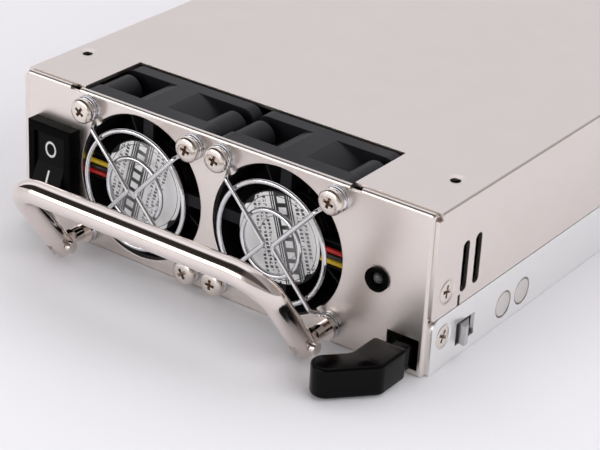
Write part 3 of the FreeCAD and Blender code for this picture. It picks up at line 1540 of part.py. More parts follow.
def switch_housing():
    """Switch body behind the panel with a raised rim in front and a well for the rocker."""
    body = new_body("SwitchBody")
    rim = sketch(body, "Rim", "XZ_Plane", -front)
    centre_x = -s.switch_offset
    rectangle(rim, centre_x - s.rim_width / 2, s.switch_height - s.rim_height / 2,
              centre_x + s.rim_width / 2, s.switch_height + s.rim_height / 2)
    pad(body, "RimPad", rim, s.rim_depth)
    face = front - s.rim_depth
    round_edges(body, "RimRound", lambda edge: near(edge.CenterOfMass.y, face), s.rim_round)
    shell = sketch(body, "Shell", "XZ_Plane", -front)
    rectangle(shell, centre_x - s.switch_body_width / 2, s.switch_height - s.switch_body_height / 2,
              centre_x + s.switch_body_width / 2, s.switch_height + s.switch_body_height / 2)
    pad(body, "ShellPad", shell, s.switch_body_depth, reverse=True)
    gap = s.rocker_side_gap
    notch(body, "Well", s.rocker_width + gap * 2, s.rim_depth + s.rocker_well_depth,
          s.rocker_height + gap * 2, centre_x - s.rocker_width / 2 - gap, face,
          s.switch_height - s.rocker_height / 2 - gap)
    doc.recompute()
    return node(body, "switch_housing")


def rocker_button():
    """Rocker turned about its pivot, with two flats that meet in a valley, tipped to off."""
    body = new_body("RockerBody")
    radius = s.rocker_height / 2
    turn = math.radians(float(s.rocker_half_turn))
    valley = (s.rim_depth - s.rocker_recess - s.rocker_pivot_reach) * math.cos(turn)
    beyond = s.rocker_height
    rise = beyond * math.tan(turn)
    start = -s.rocker_width / 2
    drum = sketch(body, "RockerDrum", "YZ_Plane", start)
    circle(drum, ZERO, ZERO, radius)
    pad(body, "RockerDrumPad", drum, s.rocker_width)
    flats = sketch(body, "RockerFlats", "YZ_Plane", start)
    polygon(flats, [
        (-valley, ZERO),
        (-valley - rise, beyond),
        (-beyond, beyond),
        (-beyond, -beyond),
        (-valley - rise, -beyond),
    ])
    pocket(body, "RockerFlatCut", flats, s.rocker_width, reverse=True)
    rear = sketch(body, "RockerRear", "YZ_Plane", start)
    rectangle(rear, s.rocker_back, -beyond, beyond, beyond)
    pocket(body, "RockerRearCut", rear, s.rocker_width, reverse=True)
    place(body, -s.switch_offset, front - s.rocker_pivot_reach, s.switch_height,
          Rotation(Vector(1, 0, 0), -float(s.rocker_half_turn)))
    doc.recompute()
    return node(body, "rocker_button")


def switch_terminals():
    """Two flat brass terminals out of the back of the switch."""
    start = front + s.switch_body_depth
    blades = []
    for step, way in enumerate((-1, 1)):
        z = s.switch_height + s.terminal_pitch / 2 * way - s.terminal_thickness / 2
        blades.append(box("Terminal%d" % step, s.terminal_width, s.terminal_length, s.terminal_thickness,
                          -s.switch_offset - s.terminal_width / 2, start, z))
    return node(group("Terminals", blades), "switch_terminals")


def lamp_pieces():
    """Black clip through the panel, and the round lamp that it holds."""
    x, z = s.lamp_offset, s.lamp_height
    face = front - s.clip_flange_depth
    flange = cylinder("ClipFlange", s.clip_flange_radius, s.clip_flange_depth, x, face, z, "y")
    barrel = cylinder("ClipBarrel", s.clip_body_radius, s.clip_body_length, x, front, z, "y")
    bore = cylinder("ClipBore", s.lamp_radius + s.lamp_fit, s.clip_flange_depth + s.clip_body_length,
                    x, face, z, "y")
    dish = cone("ClipDish", s.clip_dish_radius, s.lamp_radius + s.lamp_fit, s.clip_flange_depth - s.lamp_recess,
                x, face, z, "y")
    seat = cylinder("ClipSeat", s.lamp_rim_radius + s.lamp_fit, s.lamp_rim_depth + s.lamp_fit,
                    x, front + s.clip_body_length - s.lamp_rim_depth - s.lamp_fit, z, "y")
    clip = cut("Clip", fuse("ClipWhole", [flange, barrel]), fuse("ClipHollow", [bore, dish, seat]))
    node(clip, "lamp_clip")
    lamp_front = face + s.lamp_recess
    dome = doc.addObject("Part::Sphere", "LampDome")
    bind(dome, {"Radius": s.lamp_radius})
    place(dome, x, lamp_front + s.lamp_radius, z)
    end = front + s.clip_body_length
    stem = cylinder("LampStem", s.lamp_radius, end - lamp_front - s.lamp_radius,
                    x, lamp_front + s.lamp_radius, z, "y")
    rim = cylinder("LampRim", s.lamp_rim_radius, s.lamp_rim_depth, x, end - s.lamp_rim_depth, z, "y")
    return node(fuse("Lamp", [dome, stem, rim]), "status_lamp")


LEAD_ORDER = ("red", "black", "yellow")


def fan_leads():
    """Three insulated leads from each motor, past the frame and back to a plug on the board."""
    wire = float(s.lead_radius)
    spacing = float(s.lead_spacing)
    depth = float(fan_front + s.lead_depth)
    plug_top = float(board_top + s.header_height + s.plug_height)
    tubes = {colour: [] for colour in LEAD_ORDER}
    for index, left in enumerate(fan_places):
        side = -1 if index == 0 else 1
        out = float(left) + side * float(s.fan_size / 2 - s.lead_channel_depth
                                         + s.lead_channel_gap + s.lead_radius)
        inner = float(left) + side * float(s.lead_start)
        plug_x = float(left) + side * float(s.header_offset)
        for step, colour in enumerate(LEAD_ORDER):
            level = (step - 1) * (1 if index == 0 else -1)
            z = float(s.fan_height) + level * spacing
            plug_y = float(front + s.header_place) + level * float(s.header_pitch)
            top = float(s.lead_top) + level * float(s.lead_top_step)
            points = [
                Vector(inner, depth, z),
                Vector(out, depth, z),
                Vector(out, float(front + s.lead_turn_place) + level * spacing, z),
                Vector(plug_x, plug_y, top),
                Vector(plug_x, plug_y, plug_top),
            ]
            radii = [float(s.lead_corner_radius)]
            for corner in (2, 3):
                before = points[corner] - points[corner - 1]
                after = points[corner + 1] - points[corner]
                half_turn = before.getAngle(after) / 2
                shorter = min(before.Length, after.Length)
                radii.append(0.45 * shorter / math.tan(half_turn))
            tubes[colour].append(swept(points, radii, wire))
    for colour in LEAD_ORDER:
        feature = doc.addObject("Part::Feature", "Leads" + colour.title())
        feature.Shape = Part.makeCompound(tubes[colour])
        node(feature, "fan_leads_%s" % colour)


def plugs_and_headers():
    """A three-way plug on a board header for each fan."""
    plugs = []
    headers = []
    length = s.header_pitch * 2 + s.plug_margin * 2
    for index, left in enumerate(fan_places):
        x = left - s.header_offset if index == 0 else left + s.header_offset
        y = front + s.header_place - length / 2
        headers.append(box("Header%d" % index, s.header_width, length + s.plug_margin, s.header_height,
                           x - s.header_width / 2, y - s.plug_margin / 2, board_top))
        plugs.append(box("Plug%d" % index, s.plug_width, length, s.plug_height,
                         x - s.plug_width / 2, y, board_top + s.header_height))
    node(group("Headers", headers), "board_headers")
    node(group("Plugs", plugs), "lead_plugs")


def standoff_spots():
    """The six fixing points of the main board, as x and y."""
    side = wall_inner - s.board_side_gap - s.standoff_inset
    front_y = front + s.board_front + s.standoff_inset
    back_y = back - s.board_back_gap - s.standoff_inset
    middle_y = back - s.board_back_gap - s.standoff_inset * 8
    return [
        (-side, front_y),
        (side - s.board_notch_width, front_y),
        (-side, middle_y),
        (side, middle_y),
        (-side, back_y),
        (side, back_y),
    ]


def main_board():
    """Main board with a corner left free for the latch."""
    body = new_body("BoardBody")
    outline = sketch(body, "BoardOutline", "XY_Plane", board_bottom)
    side = wall_inner - s.board_side_gap
    front_y = front + s.board_front
    back_y = back - s.board_back_gap
    notch_x = side - s.board_notch_width
    notch_y = front + s.board_notch_back
    polygon(outline, [(-side, front_y), (notch_x, front_y), (notch_x, notch_y), (side, notch_y),
                      (side, back_y), (-side, back_y)])
    pad(body, "BoardPad", outline, s.board_thickness)
    for index, (x, y) in enumerate(standoff_spots()):
        drill(body, "BoardHole%d" % index, s.board_screw_radius + s.screw_fit, s.board_thickness * 3,
              x, y, board_bottom - s.board_thickness)
    doc.recompute()
    return node(body, "main_board")


def board_fixings():
    """Standoffs under the board, screws in them, and the insulation film that they pass through."""
    standoffs = []
    screws = []
    spots = standoff_spots()
    for index, (x, y) in enumerate(spots):
        post = doc.addObject("Part::Prism", "Standoff%d" % index)
        post.Polygon = 6
        bind(post, {"Circumradius": s.standoff_radius, "Height": s.standoff_height})
        place(post, x, y, s.metal)
        bore = cylinder("StandoffBore%d" % index, s.board_screw_radius + s.screw_fit, s.board_screw_length,
                        x, y, board_top - s.board_screw_length)
        standoffs.append(cut("StandoffPost%d" % index, post, bore))
        name = "BoardScrew%d" % index
        head = cylinder(name + "Head", s.board_screw_head_radius, s.board_screw_head_depth, x, y, board_top)
        shank = cylinder(name + "Shank", s.board_screw_radius, s.board_screw_length - s.film_thickness,
                         x, y, board_top - s.board_screw_length + s.film_thickness)
        screws.append(fuse(name, [head, shank]))
    node(group("Standoffs", standoffs), "board_standoffs")
    node(group("BoardScrews", screws), "board_screws")
    body = new_body("FilmBody")
    outline = sketch(body, "FilmOutline", "XY_Plane", s.metal)
    side = wall_inner - s.film_margin
    rectangle(outline, -side, front + s.board_notch_back, side, back - s.board_back_gap)
    pad(body, "FilmPad", outline, s.film_thickness)
    for index, (x, y) in enumerate(spots[2:]):
        drill(body, "FilmHole%d" % index, s.standoff_radius + s.film_hole_gap, s.metal * 2,
              x, y, s.metal / 2)
    doc.recompute()
    node(body, "insulation_film")


def heat_sink(name, plate_x, way):
    """Extruded heat sink: an upright plate with long fins on one side."""
    body = new_body(name + "Body")
    profile = sketch(body, name + "Profile", "XZ_Plane", -(front + s.sink_start))
    low = board_top
    high = board_top + s.sink_height
    if way < 0:
        rectangle(profile, plate_x - s.sink_plate, low, plate_x, high)
    else:
        rectangle(profile, plate_x, low, plate_x + s.sink_plate, high)
    pad(body, name + "Plate", profile, s.sink_length, reverse=True)
    fin = sketch(body, name + "Fin", "XZ_Plane", -(front + s.sink_start))
    fin_low = board_top + s.fin_pitch / 2
    if way < 0:
        rectangle(fin, plate_x - s.sink_plate - s.fin_reach, fin_low,
                  plate_x - s.sink_plate / 2, fin_low + s.fin_thickness)
    else:
        rectangle(fin, plate_x + s.sink_plate / 2, fin_low,
                  plate_x + s.sink_plate + s.fin_reach, fin_low + s.fin_thickness)
    first = pad(body, name + "FinPad", fin, s.sink_length, reverse=True)
    count = int((float(s.sink_height) - float(s.fin_pitch) / 2) / float(s.fin_pitch))
    doc.recompute()
    row = body.newObject("PartDesign::LinearPattern", name + "Fins")
    row.Originals = [first]
    row.Direction = (origin_plane(body, "Z_Axis"), [""])
    row.Occurrences = count
    bind(row, {"Length": s.fin_pitch * (count - 1)})
    body.Tip = row
    doc.recompute()
    return body


def packages(name, face_x, way):
    """Four moulded power packages on a heat sink's plain side, with their legs in the board."""
    pieces = []
    for step in range(4):
        y = front + s.sink_start + s.package_start + s.package_pitch * step - s.package_width / 2
        z = board_top + s.package_rise
        x = face_x if way > 0 else face_x - s.package_depth
        block = box("%s%dBlock" % (name, step), s.package_depth, s.package_width, s.package_height, x, y, z)
        middle = x + s.package_depth / 2 - s.package_leg / 2
        legs = [box("%s%dLeg%d" % (name, step, leg), s.package_leg, s.package_leg, s.package_rise,
                    middle, y + s.package_width * (leg + 1) / 4 - s.package_leg / 2, board_top)
                for leg in range(3)]
        pieces.append(fuse("%s%d" % (name, step), [block] + legs))
    return pieces


def heat_parts():
    """Primary and secondary heat sinks with their packages."""
    primary_x = -s.primary_sink_offset
    secondary_x = s.secondary_sink_offset
    node(heat_sink("PrimarySink", primary_x, -1), "primary_heat_sink")
    node(heat_sink("SecondarySink", secondary_x, 1), "secondary_heat_sink")
    node(group("Transistors", packages("Transistor", primary_x, 1)), "power_transistors")
    node(group("Rectifiers", packages("Rectifier", secondary_x, -1)), "output_rectifiers")


def can_profile(body, name, radius, height, groove_depth, groove_height):
    """A capacitor can turned from its profile, with the crimp groove near its base."""
    profile = body.newObject("Sketcher::SketchObject", name)
    profile.AttachmentSupport = [(origin_plane(body, "XZ_Plane"), "")]
    profile.MapMode = "FlatFace"
    polygon(profile, [
        (ZERO, ZERO),
        (radius, ZERO),
        (radius, groove_height - groove_depth),
        (radius - groove_depth, groove_height),
        (radius, groove_height + groove_depth),
        (radius, height),
        (ZERO, height),
    ])
    can = body.newObject("PartDesign::Revolution", name + "Can")
    can.Profile = profile
    can.ReferenceAxis = (profile, ["V_Axis"])
    can.Angle = 360
    body.Tip = can
    doc.recompute()
    return body


def capacitors():
    """Bulk, output and film capacitors on the board."""
    bulk = []
    for step in range(2):
        body = new_body("Bulk%d" % step)
        can_profile(body, "Bulk%dProfile" % step, s.bulk_radius, s.bulk_height,
                    s.bulk_groove_depth, s.bulk_groove_height)
        place(body, -s.bulk_offset, front + s.bulk_first + s.bulk_pitch * step, board_top)
        bulk.append(body)
    node(group("BulkCans", bulk), "bulk_capacitors")
    small = []
    for row in range(int(float(s.output_cap_rows))):
        for column in range(int(float(s.output_cap_columns))):
            x = s.output_cap_offset + s.output_cap_pitch * column
            y = front + s.output_cap_first + s.output_cap_pitch * row
            body = new_body("Output%d%d" % (row, column))
            can_profile(body, "Output%d%dProfile" % (row, column), s.output_cap_radius,
                        s.output_cap_height, s.bulk_groove_depth / 2, s.bulk_groove_height / 2)
            place(body, x, y, board_top)
            small.append(body)
    node(group("OutputCans", small), "output_capacitors")
    films = [box("FilmCap%d" % step, s.film_cap_length, s.film_cap_width, s.film_cap_height,
                 -s.film_cap_offset - s.film_cap_length / 2,
                 front + s.film_cap_first + s.film_cap_pitch * step, board_top)
             for step in range(2)]
    node(group("FilmCaps", films), "film_capacitors")


def transformer():
    """Ferrite core with its two windows, and the wound bobbin round its middle limb."""
    body = new_body("CoreBody")
    x = s.core_offset
    y = front + s.core_place
    low = board_top
    profile = sketch(body, "CoreProfile", "YZ_Plane", x - s.core_width / 2)
    half = s.core_length / 2
    limb = s.core_limb
    rectangle(profile, y - half, low, y + half, low + s.core_height)
    pad(body, "CorePad", profile, s.core_width)
    window_width = (s.core_length - limb * 3) / 2
    window_height = s.core_height - limb
    for name, start in (("CoreWindowFront", y - half + limb), ("CoreWindowBack", y + limb / 2)):
        notch(body, name, s.core_width * 2, window_width, window_height,
              x - s.core_width, start, low + limb / 2)
    doc.recompute()
    node(body, "transformer_core")
    fit = s.winding_fit
    inner_y = limb + fit * 2
    outer_y = limb + window_width * 2 - fit * 2
    tall = window_height - fit * 2
    bulge = s.core_width + window_width
    solid = box("WindingSolid", bulge, outer_y, tall, x - bulge / 2, y - outer_y / 2, low + limb / 2 + fit)
    hole = box("WindingHole", s.core_width + fit * 2, inner_y, tall, x - s.core_width / 2 - fit,
               y - inner_y / 2, low + limb / 2 + fit)
    return node(cut("Winding", solid, hole), "transformer_winding")


def toroids():
    """Line choke with its core inside the winding, and the output inductor."""
    x = -s.choke_offset
    y = front + s.choke_place
    wall = s.choke_winding_wall
    core_z = board_top + wall
    core = ring("ChokeCore", s.choke_outer_radius, s.choke_inner_radius, s.choke_height, x, y, core_z, "z")
    node(core, "choke_core")
    shell = ring("ChokeShell", s.choke_outer_radius + wall, s.choke_inner_radius - wall,
                 s.choke_height + wall * 2, x, y, board_top, "z")
    room = ring("ChokeRoom", s.choke_outer_radius, s.choke_inner_radius, s.choke_height, x, y, core_z, "z")
    node(cut("ChokeWinding", shell, room), "choke_winding")
    inductor = ring("Inductor", s.inductor_outer_radius, s.inductor_inner_radius, s.inductor_height,
                    s.inductor_offset, front + s.inductor_place, board_top, "z")
    return node(inductor, "output_inductor")


def control_board():
    """Small upright board beside the secondary heat sink."""
    board = box("ControlBoard", s.board_thickness, s.control_board_length, s.control_board_height,
                s.control_board_offset, front + s.control_board_start, board_top)
    return node(board, "control_board")


def fuse_link():
    """Line fuse: a glass body with metal end caps, in its clips."""
    x = -s.fuse_offset
    z = board_top + s.fuse_rise
    start = front + s.fuse_place
    body = cylinder("FuseBody", s.fuse_radius, s.fuse_length, x, start, z, "y")
    cap_radius = s.fuse_radius + s.fuse_cap_growth
    caps = [cylinder("FuseCap%d" % step, cap_radius, s.fuse_cap_length, x,
                     start + (s.fuse_length - s.fuse_cap_length) * step, z, "y") for step in range(2)]
    clips = [box("FuseClip%d" % step, s.fuse_radius, s.fuse_cap_length - s.metal, s.fuse_rise,
                 x - s.fuse_radius / 2, start + s.metal / 2 + (s.fuse_length - s.fuse_cap_length) * step,
                 board_top) for step in range(2)]
    return node(fuse("Fuse", [body] + caps + clips), "line_fuse")


def docking_connector():
    """Connector block through the rear wall, with a row of slots and a contact blade in each."""
    body = new_body("DockBody")
    low = board_top
    reach = back + s.dock_reach
    outline = sketch(body, "DockOutline", "XZ_Plane", -(back - s.dock_seat))
    rectangle(outline, -s.dock_width / 2, low, s.dock_width / 2, low + s.dock_height)
    pad(body, "DockPad", outline, s.dock_seat + s.dock_reach, reverse=True)
    row = s.dock_slot_pitch * (s.dock_slot_count - 1)
    slot_low = low + (s.dock_height - s.dock_slot_height) / 2
    first = notch(body, "DockSlot", s.dock_slot_width, s.dock_slot_depth, s.dock_slot_height,
                  -row / 2 - s.dock_slot_width / 2, reach - s.dock_slot_depth, slot_low)
    pattern_line(body, "DockSlots", first, "X_Axis", row, s.dock_slot_count)
    doc.recompute()
    node(body, "docking_connector")
    blades = []
    middle = low + s.dock_height / 2
    start = reach - s.dock_slot_depth
    for step in range(int(float(s.dock_slot_count))):
        x = s.dock_slot_pitch * step - row / 2 - s.blade_width / 2
        blades.append(box("DockBlade%d" % step, s.blade_width, s.dock_slot_depth - s.blade_end_gap,
                          s.blade_height, x, start, middle - s.blade_height / 2))
    return node(group("DockBlades", blades), "docking_blades")


def check_document():
    """Stop where an object failed, a cut removed nothing, or a piece has no valid shape."""
    doc.recompute()
    for item in doc.Objects:
        bad = [word for word in item.State if word in ("Invalid", "Error")]
        if bad:
            raise RuntimeError("%s is %s" % (item.Name, bad))
    cutting = ("PartDesign::Pocket", "PartDesign::SubtractiveBox", "PartDesign::SubtractiveCylinder",
               "PartDesign::SubtractiveCone")
    for item in doc.Objects:
        if item.TypeId in cutting:
            before = item.BaseFeature.Shape.Volume
            if before - item.Shape.Volume < 1e-6:
                raise RuntimeError("%s removes nothing" % item.Name)
    for name, item in NODES.items():
        shape = item.Shape
        if shape.isNull() or not shape.isValid() or not shape.Solids:
            raise RuntimeError("%s has no valid solid" % name)


def export():
    """Write each piece to its own file."""
    os.makedirs("parts", exist_ok=True)
    for name, item in NODES.items():
        item.Shape.exportStep("parts/%s.step" % name)
        print(name, len(item.Shape.Solids))


def build():
    """Make every piece, check it and write it."""
    base_tray()
    front_panel()
    top_cover()
    latch_rail()
    case_screws()
    rail_rivets()
    latch_bracket()
    latch_pin()
    latch_arm()
    latch_spring()
    latch_tab()
    for index, left in enumerate(fan_places):
        fan_frame(index, left)
        impeller(index, left)
        fan_inner(index, left)
        fan_guard(index, left)
    fan_bearings()
    fan_labels()
    guard_fixings()
    handle_posts()
    carry_handle()
    handle_pins()
    switch_housing()
    rocker_button()
    switch_terminals()
    lamp_pieces()
    fan_leads()
    plugs_and_headers()
    main_board()
    board_fixings()
    heat_parts()
    capacitors()
    transformer()
    toroids()
    control_board()
    fuse_link()
    docking_connector()
    check_document()
    export()


build()
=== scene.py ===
"""Hot swap server power supply: finishes, fine pieces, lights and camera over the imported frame."""

import logging
import math
from dataclasses import dataclass
from enum import Enum
from typing import Callable, Sequence

import bmesh
import bpy
from mathutils import Matrix, Vector

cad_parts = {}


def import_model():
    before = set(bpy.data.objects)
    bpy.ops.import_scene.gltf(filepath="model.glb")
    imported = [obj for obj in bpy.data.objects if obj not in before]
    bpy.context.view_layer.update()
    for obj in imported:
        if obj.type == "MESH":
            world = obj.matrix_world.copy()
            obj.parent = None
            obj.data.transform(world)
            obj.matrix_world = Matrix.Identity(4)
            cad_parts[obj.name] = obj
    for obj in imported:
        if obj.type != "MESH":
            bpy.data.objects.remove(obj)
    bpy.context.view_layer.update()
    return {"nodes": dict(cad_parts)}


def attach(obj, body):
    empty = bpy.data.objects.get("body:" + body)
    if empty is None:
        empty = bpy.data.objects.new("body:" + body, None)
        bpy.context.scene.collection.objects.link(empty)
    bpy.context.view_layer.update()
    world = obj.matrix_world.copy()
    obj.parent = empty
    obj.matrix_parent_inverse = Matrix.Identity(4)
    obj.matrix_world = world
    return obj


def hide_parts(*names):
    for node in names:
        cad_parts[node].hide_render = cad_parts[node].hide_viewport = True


log = logging.getLogger("power_supply")

Node = bpy.types.Node
Socket = bpy.types.NodeSocket
Tree = bpy.types.NodeTree
Object = bpy.types.Object
Material = bpy.types.Material
Colour = tuple[float, float, float]
Place = tuple[float, float, float]

MM = 0.001
SMOOTH_ANGLE = 32.0

# Places and sizes in millimetres: the case's front and side, the middles of the fans and half the spacing of
# their screws, the radius of the guard wire and the washers under it, and the handle's posts and hinge line

FRONT = -100.0
HALF_WIDTH = 59.75
FAN_CENTRES = (-22.55, 17.75)
FAN_HEIGHT = 20.1
HOLE_HALF = 16.0
GUARD_WIRE = 0.6
WASHER = 0.5
LOOP_FRONT = FRONT - WASHER - GUARD_WIRE * 2
POSTS = (-38.55, 33.75)
PIVOT = (-110.7, 4.1)

# Tone of the painted shade, tinted brown like dirt, in narrow recesses and how near their walls are, height
# of the grain, both in metres, and the roughness of hairlines and of clear coats

RECESS_SHADE_TONE = (0.24, 0.15, 0.095)
RECESS_REACH = 0.0009
GRAIN_HEIGHT = 0.0001
SCRATCH_ROUGHNESS = 0.25
COAT_ROUGHNESS = 0.08


class Axis(Enum):
    """Direction in which a turned piece points."""

    FORWARD = (0.0, -1.0, 0.0)
    RIGHT = (1.0, 0.0, 0.0)
    LEFT = (-1.0, 0.0, 0.0)

    @property
    def vector(self) -> Vector:
        """The direction as a vector."""
        return Vector(self.value)


class Ink(Enum):
    """Printed tones."""

    WHITE = (0.86, 0.86, 0.85)
    DARK = (0.03, 0.03, 0.035)


# Shader building


class Nodes:
    """A node tree with short calls to add and join nodes."""

    def __init__(self, tree: Tree) -> None:
        self.tree = tree

    def add(self, kind: str, settings: dict | None = None, **inputs: object) -> Node:
        """Add a node.

        Args:
            kind: Blender's name for the node type.
            settings: attributes of the node.
            inputs: values or sockets for its inputs, with spaces written as underscores.

        Returns:
            The new node.
        """
        made = self.tree.nodes.new(kind)
        for name, value in (settings or {}).items():
            setattr(made, name, value)
        self.fill(made, **inputs)
        return made

    def fill(self, node: Node, **inputs: object) -> None:
        """Give several inputs of a node their values or sockets, with spaces written as underscores."""
        for name, value in inputs.items():
            self.feed(node.inputs[name.replace("_", " ")], value)

    def feed(self, socket: Socket, value: object) -> None:
        """Give a socket a value, or join another socket to it."""
        if isinstance(value, Socket):
            self.tree.links.new(value, socket)
        elif isinstance(value, tuple) and len(value) == 3 and socket.type == "RGBA":
            socket.default_value = (*value, 1.0)
        else:
            socket.default_value = value

    def math(self, operation: str, first: object, second: object = 0.0, clamp: bool = False) -> Socket:
        """Add a math node and return its result."""
        made = self.add("ShaderNodeMath", {"operation": operation, "use_clamp": clamp})
        for socket, value in zip(made.inputs, (first, second)):
            self.feed(socket, value)
        return made.outputs[0]

    def times(self, first: object, second: object, clamp: bool = False) -> Socket:
        """Multiply two values and return the result."""
        return self.math("MULTIPLY", first, second, clamp)

    def ramp(self, factor: object, low: float, high: float, start: float = 0.0, end: float = 1.0,
             smooth: bool = True) -> Socket:
        """Map a value from one range to another and return the result."""
        kind = "SMOOTHSTEP" if smooth else "LINEAR"
        made = self.add("ShaderNodeMapRange", {"interpolation_type": kind})
        for socket, value in zip(made.inputs, (factor, low, high, start, end)):
            self.feed(socket, value)
        return made.outputs[0]

    def mix(self, factor: object, first: object, second: object) -> Socket:
        """Mix two colours and return the result."""
        made = self.add("ShaderNodeMix", {"data_type": "RGBA"})
        for place, value in ((0, factor), (6, first), (7, second)):
            self.feed(made.inputs[place], value)
        return made.outputs[2]

    def noise(self, place: object, scale: float, detail: float = 3.0,
              roughness: float = 0.55) -> Socket:
        """Add a noise texture and return its value."""
        return self.add("ShaderNodeTexNoise", None, Vector=place, Scale=scale, Detail=detail,
                        Roughness=roughness).outputs[0]


def new_group(name: str, kind: str, inputs: dict[str, tuple[str, object]], outputs: dict[str, str]) -> Tree:
    """Make a node group that has its sockets and no other nodes.

    Args:
        name: name of the group.
        kind: Blender's name for the kind of tree.
        inputs: kind and default of each input.
        outputs: kind of each output.

    Returns:
        The group.
    """
    tree = bpy.data.node_groups.new(name, kind)
    for label, (socket_kind, default) in inputs.items():
        socket = tree.interface.new_socket(name=label, in_out="INPUT", socket_type=socket_kind)
        if default is not None:
            socket.default_value = default
    for label, socket_kind in outputs.items():
        tree.interface.new_socket(name=label, in_out="OUTPUT", socket_type=socket_kind)
    return tree


def shader_group(name: str, inputs: dict[str, tuple[str, object]], outputs: dict[str, str],
                 wire: Callable[[Nodes, Node, Node], None]) -> Tree:
    """A shared group of shader nodes, made once.

    Args:
        name: name of the group.
        inputs: kind and default of each input.
        outputs: kind of each output.
        wire: function that fills the group between its input and output nodes.

    Returns:
        The group.
    """
    found = bpy.data.node_groups.get(name)
    if found:
        return found
    tree = new_group(name, "ShaderNodeTree", inputs, outputs)
    wire(Nodes(tree), tree.nodes.new("NodeGroupInput"), tree.nodes.new("NodeGroupOutput"))
    return tree


def grain_group() -> Tree:
    """Fine grain and broad unevenness: values for roughness, tone and height."""

    def wire(nodes: Nodes, start: Node, end: Node) -> None:
        place = nodes.add("ShaderNodeTexCoord").outputs["Object"]
        stretched = nodes.add("ShaderNodeVectorMath", {"operation": "MULTIPLY"})
        nodes.feed(stretched.inputs[0], place)
        nodes.feed(stretched.inputs[1], start.outputs["Stretch"])
        fine = nodes.add("ShaderNodeTexNoise", None, Vector=stretched.outputs[0], Detail=2.0,
                         Scale=start.outputs["Scale"])
        broad = nodes.noise(place, 26.0, 4.0)
        patch = nodes.noise(place, 90.0, 3.0)
        nodes.fill(end, Fine=fine.outputs[0], Broad=nodes.ramp(broad, 0.3, 0.72),
                   Patch=nodes.ramp(patch, 0.35, 0.7))

    return shader_group("grain", {"Scale": ("NodeSocketFloat", 4000.0),
                                  "Stretch": ("NodeSocketVector", (1.0, 1.0, 1.0))},
                        {"Fine": "NodeSocketFloat", "Broad": "NodeSocketFloat", "Patch": "NodeSocketFloat"},
                        wire)


def edge_group() -> Tree:
    """Softened edges: the bevelled normal, and a mask that is 1 along worn edges."""

    def wire(nodes: Nodes, start: Node, end: Node) -> None:
        bevel = nodes.add("ShaderNodeBevel", {"samples": 6}, Radius=start.outputs["Radius"])
        normal = nodes.add("ShaderNodeNewGeometry").outputs["Normal"]
        dot = nodes.add("ShaderNodeVectorMath", {"operation": "DOT_PRODUCT"})
        nodes.feed(dot.inputs[0], bevel.outputs[0])
        nodes.feed(dot.inputs[1], normal)
        edge = nodes.ramp(dot.outputs["Value"], 0.995, 0.86)
        place = nodes.add("ShaderNodeTexCoord").outputs["Object"]
        chips = nodes.ramp(nodes.noise(place, 420.0, 4.0), 0.38, 0.62)
        worn = nodes.times(nodes.times(edge, chips), start.outputs["Wear"])
        nodes.fill(end, Normal=bevel.outputs[0], Worn=worn)

    return shader_group("edges", {"Radius": ("NodeSocketFloat", 0.00025), "Wear": ("NodeSocketFloat", 0.5)},
                        {"Normal": "NodeSocketVector", "Worn": "NodeSocketFloat"}, wire)


def scratch_group() -> Tree:
    """Sparse hairline scratches: a mask."""

    def wire(nodes: Nodes, start: Node, end: Node) -> None:
        place = nodes.add("ShaderNodeTexCoord").outputs["Object"]
        total: object = 0.0
        for turn, scale in ((0.5, 55.0), (-0.9, 80.0), (1.9, 65.0)):
            mapped = nodes.add("ShaderNodeMapping", None, Vector=place, Rotation=(turn, turn * 0.7, turn),
                               Scale=(1.0, 14.0, 14.0))
            line = nodes.noise(mapped.outputs[0], scale, 1.0)
            ridge = nodes.math("ABSOLUTE", nodes.math("SUBTRACT", line, 0.5))
            total = nodes.math("ADD", total, nodes.ramp(ridge, 0.0035, 0.0))
        gate = nodes.ramp(nodes.noise(place, 60.0, 2.0), 0.52, 0.66)
        nodes.fill(end, Mask=nodes.times(nodes.times(total, gate), start.outputs["Amount"], clamp=True))

    return shader_group("scratches", {"Amount": ("NodeSocketFloat", 0.5)}, {"Mask": "NodeSocketFloat"}, wire)


def new_material(name: str) -> tuple[Material, Nodes, Node]:
    """An empty node material with a Principled shader, its nodes and that shader."""
    made = bpy.data.materials.new(name)
    made.use_nodes = True
    tree = made.node_tree
    tree.nodes.clear()
    nodes = Nodes(tree)
    shader = nodes.add("ShaderNodeBsdfPrincipled")
    output = nodes.add("ShaderNodeOutputMaterial")
    tree.links.new(shader.outputs[0], output.inputs[0])
    return made, nodes, shader


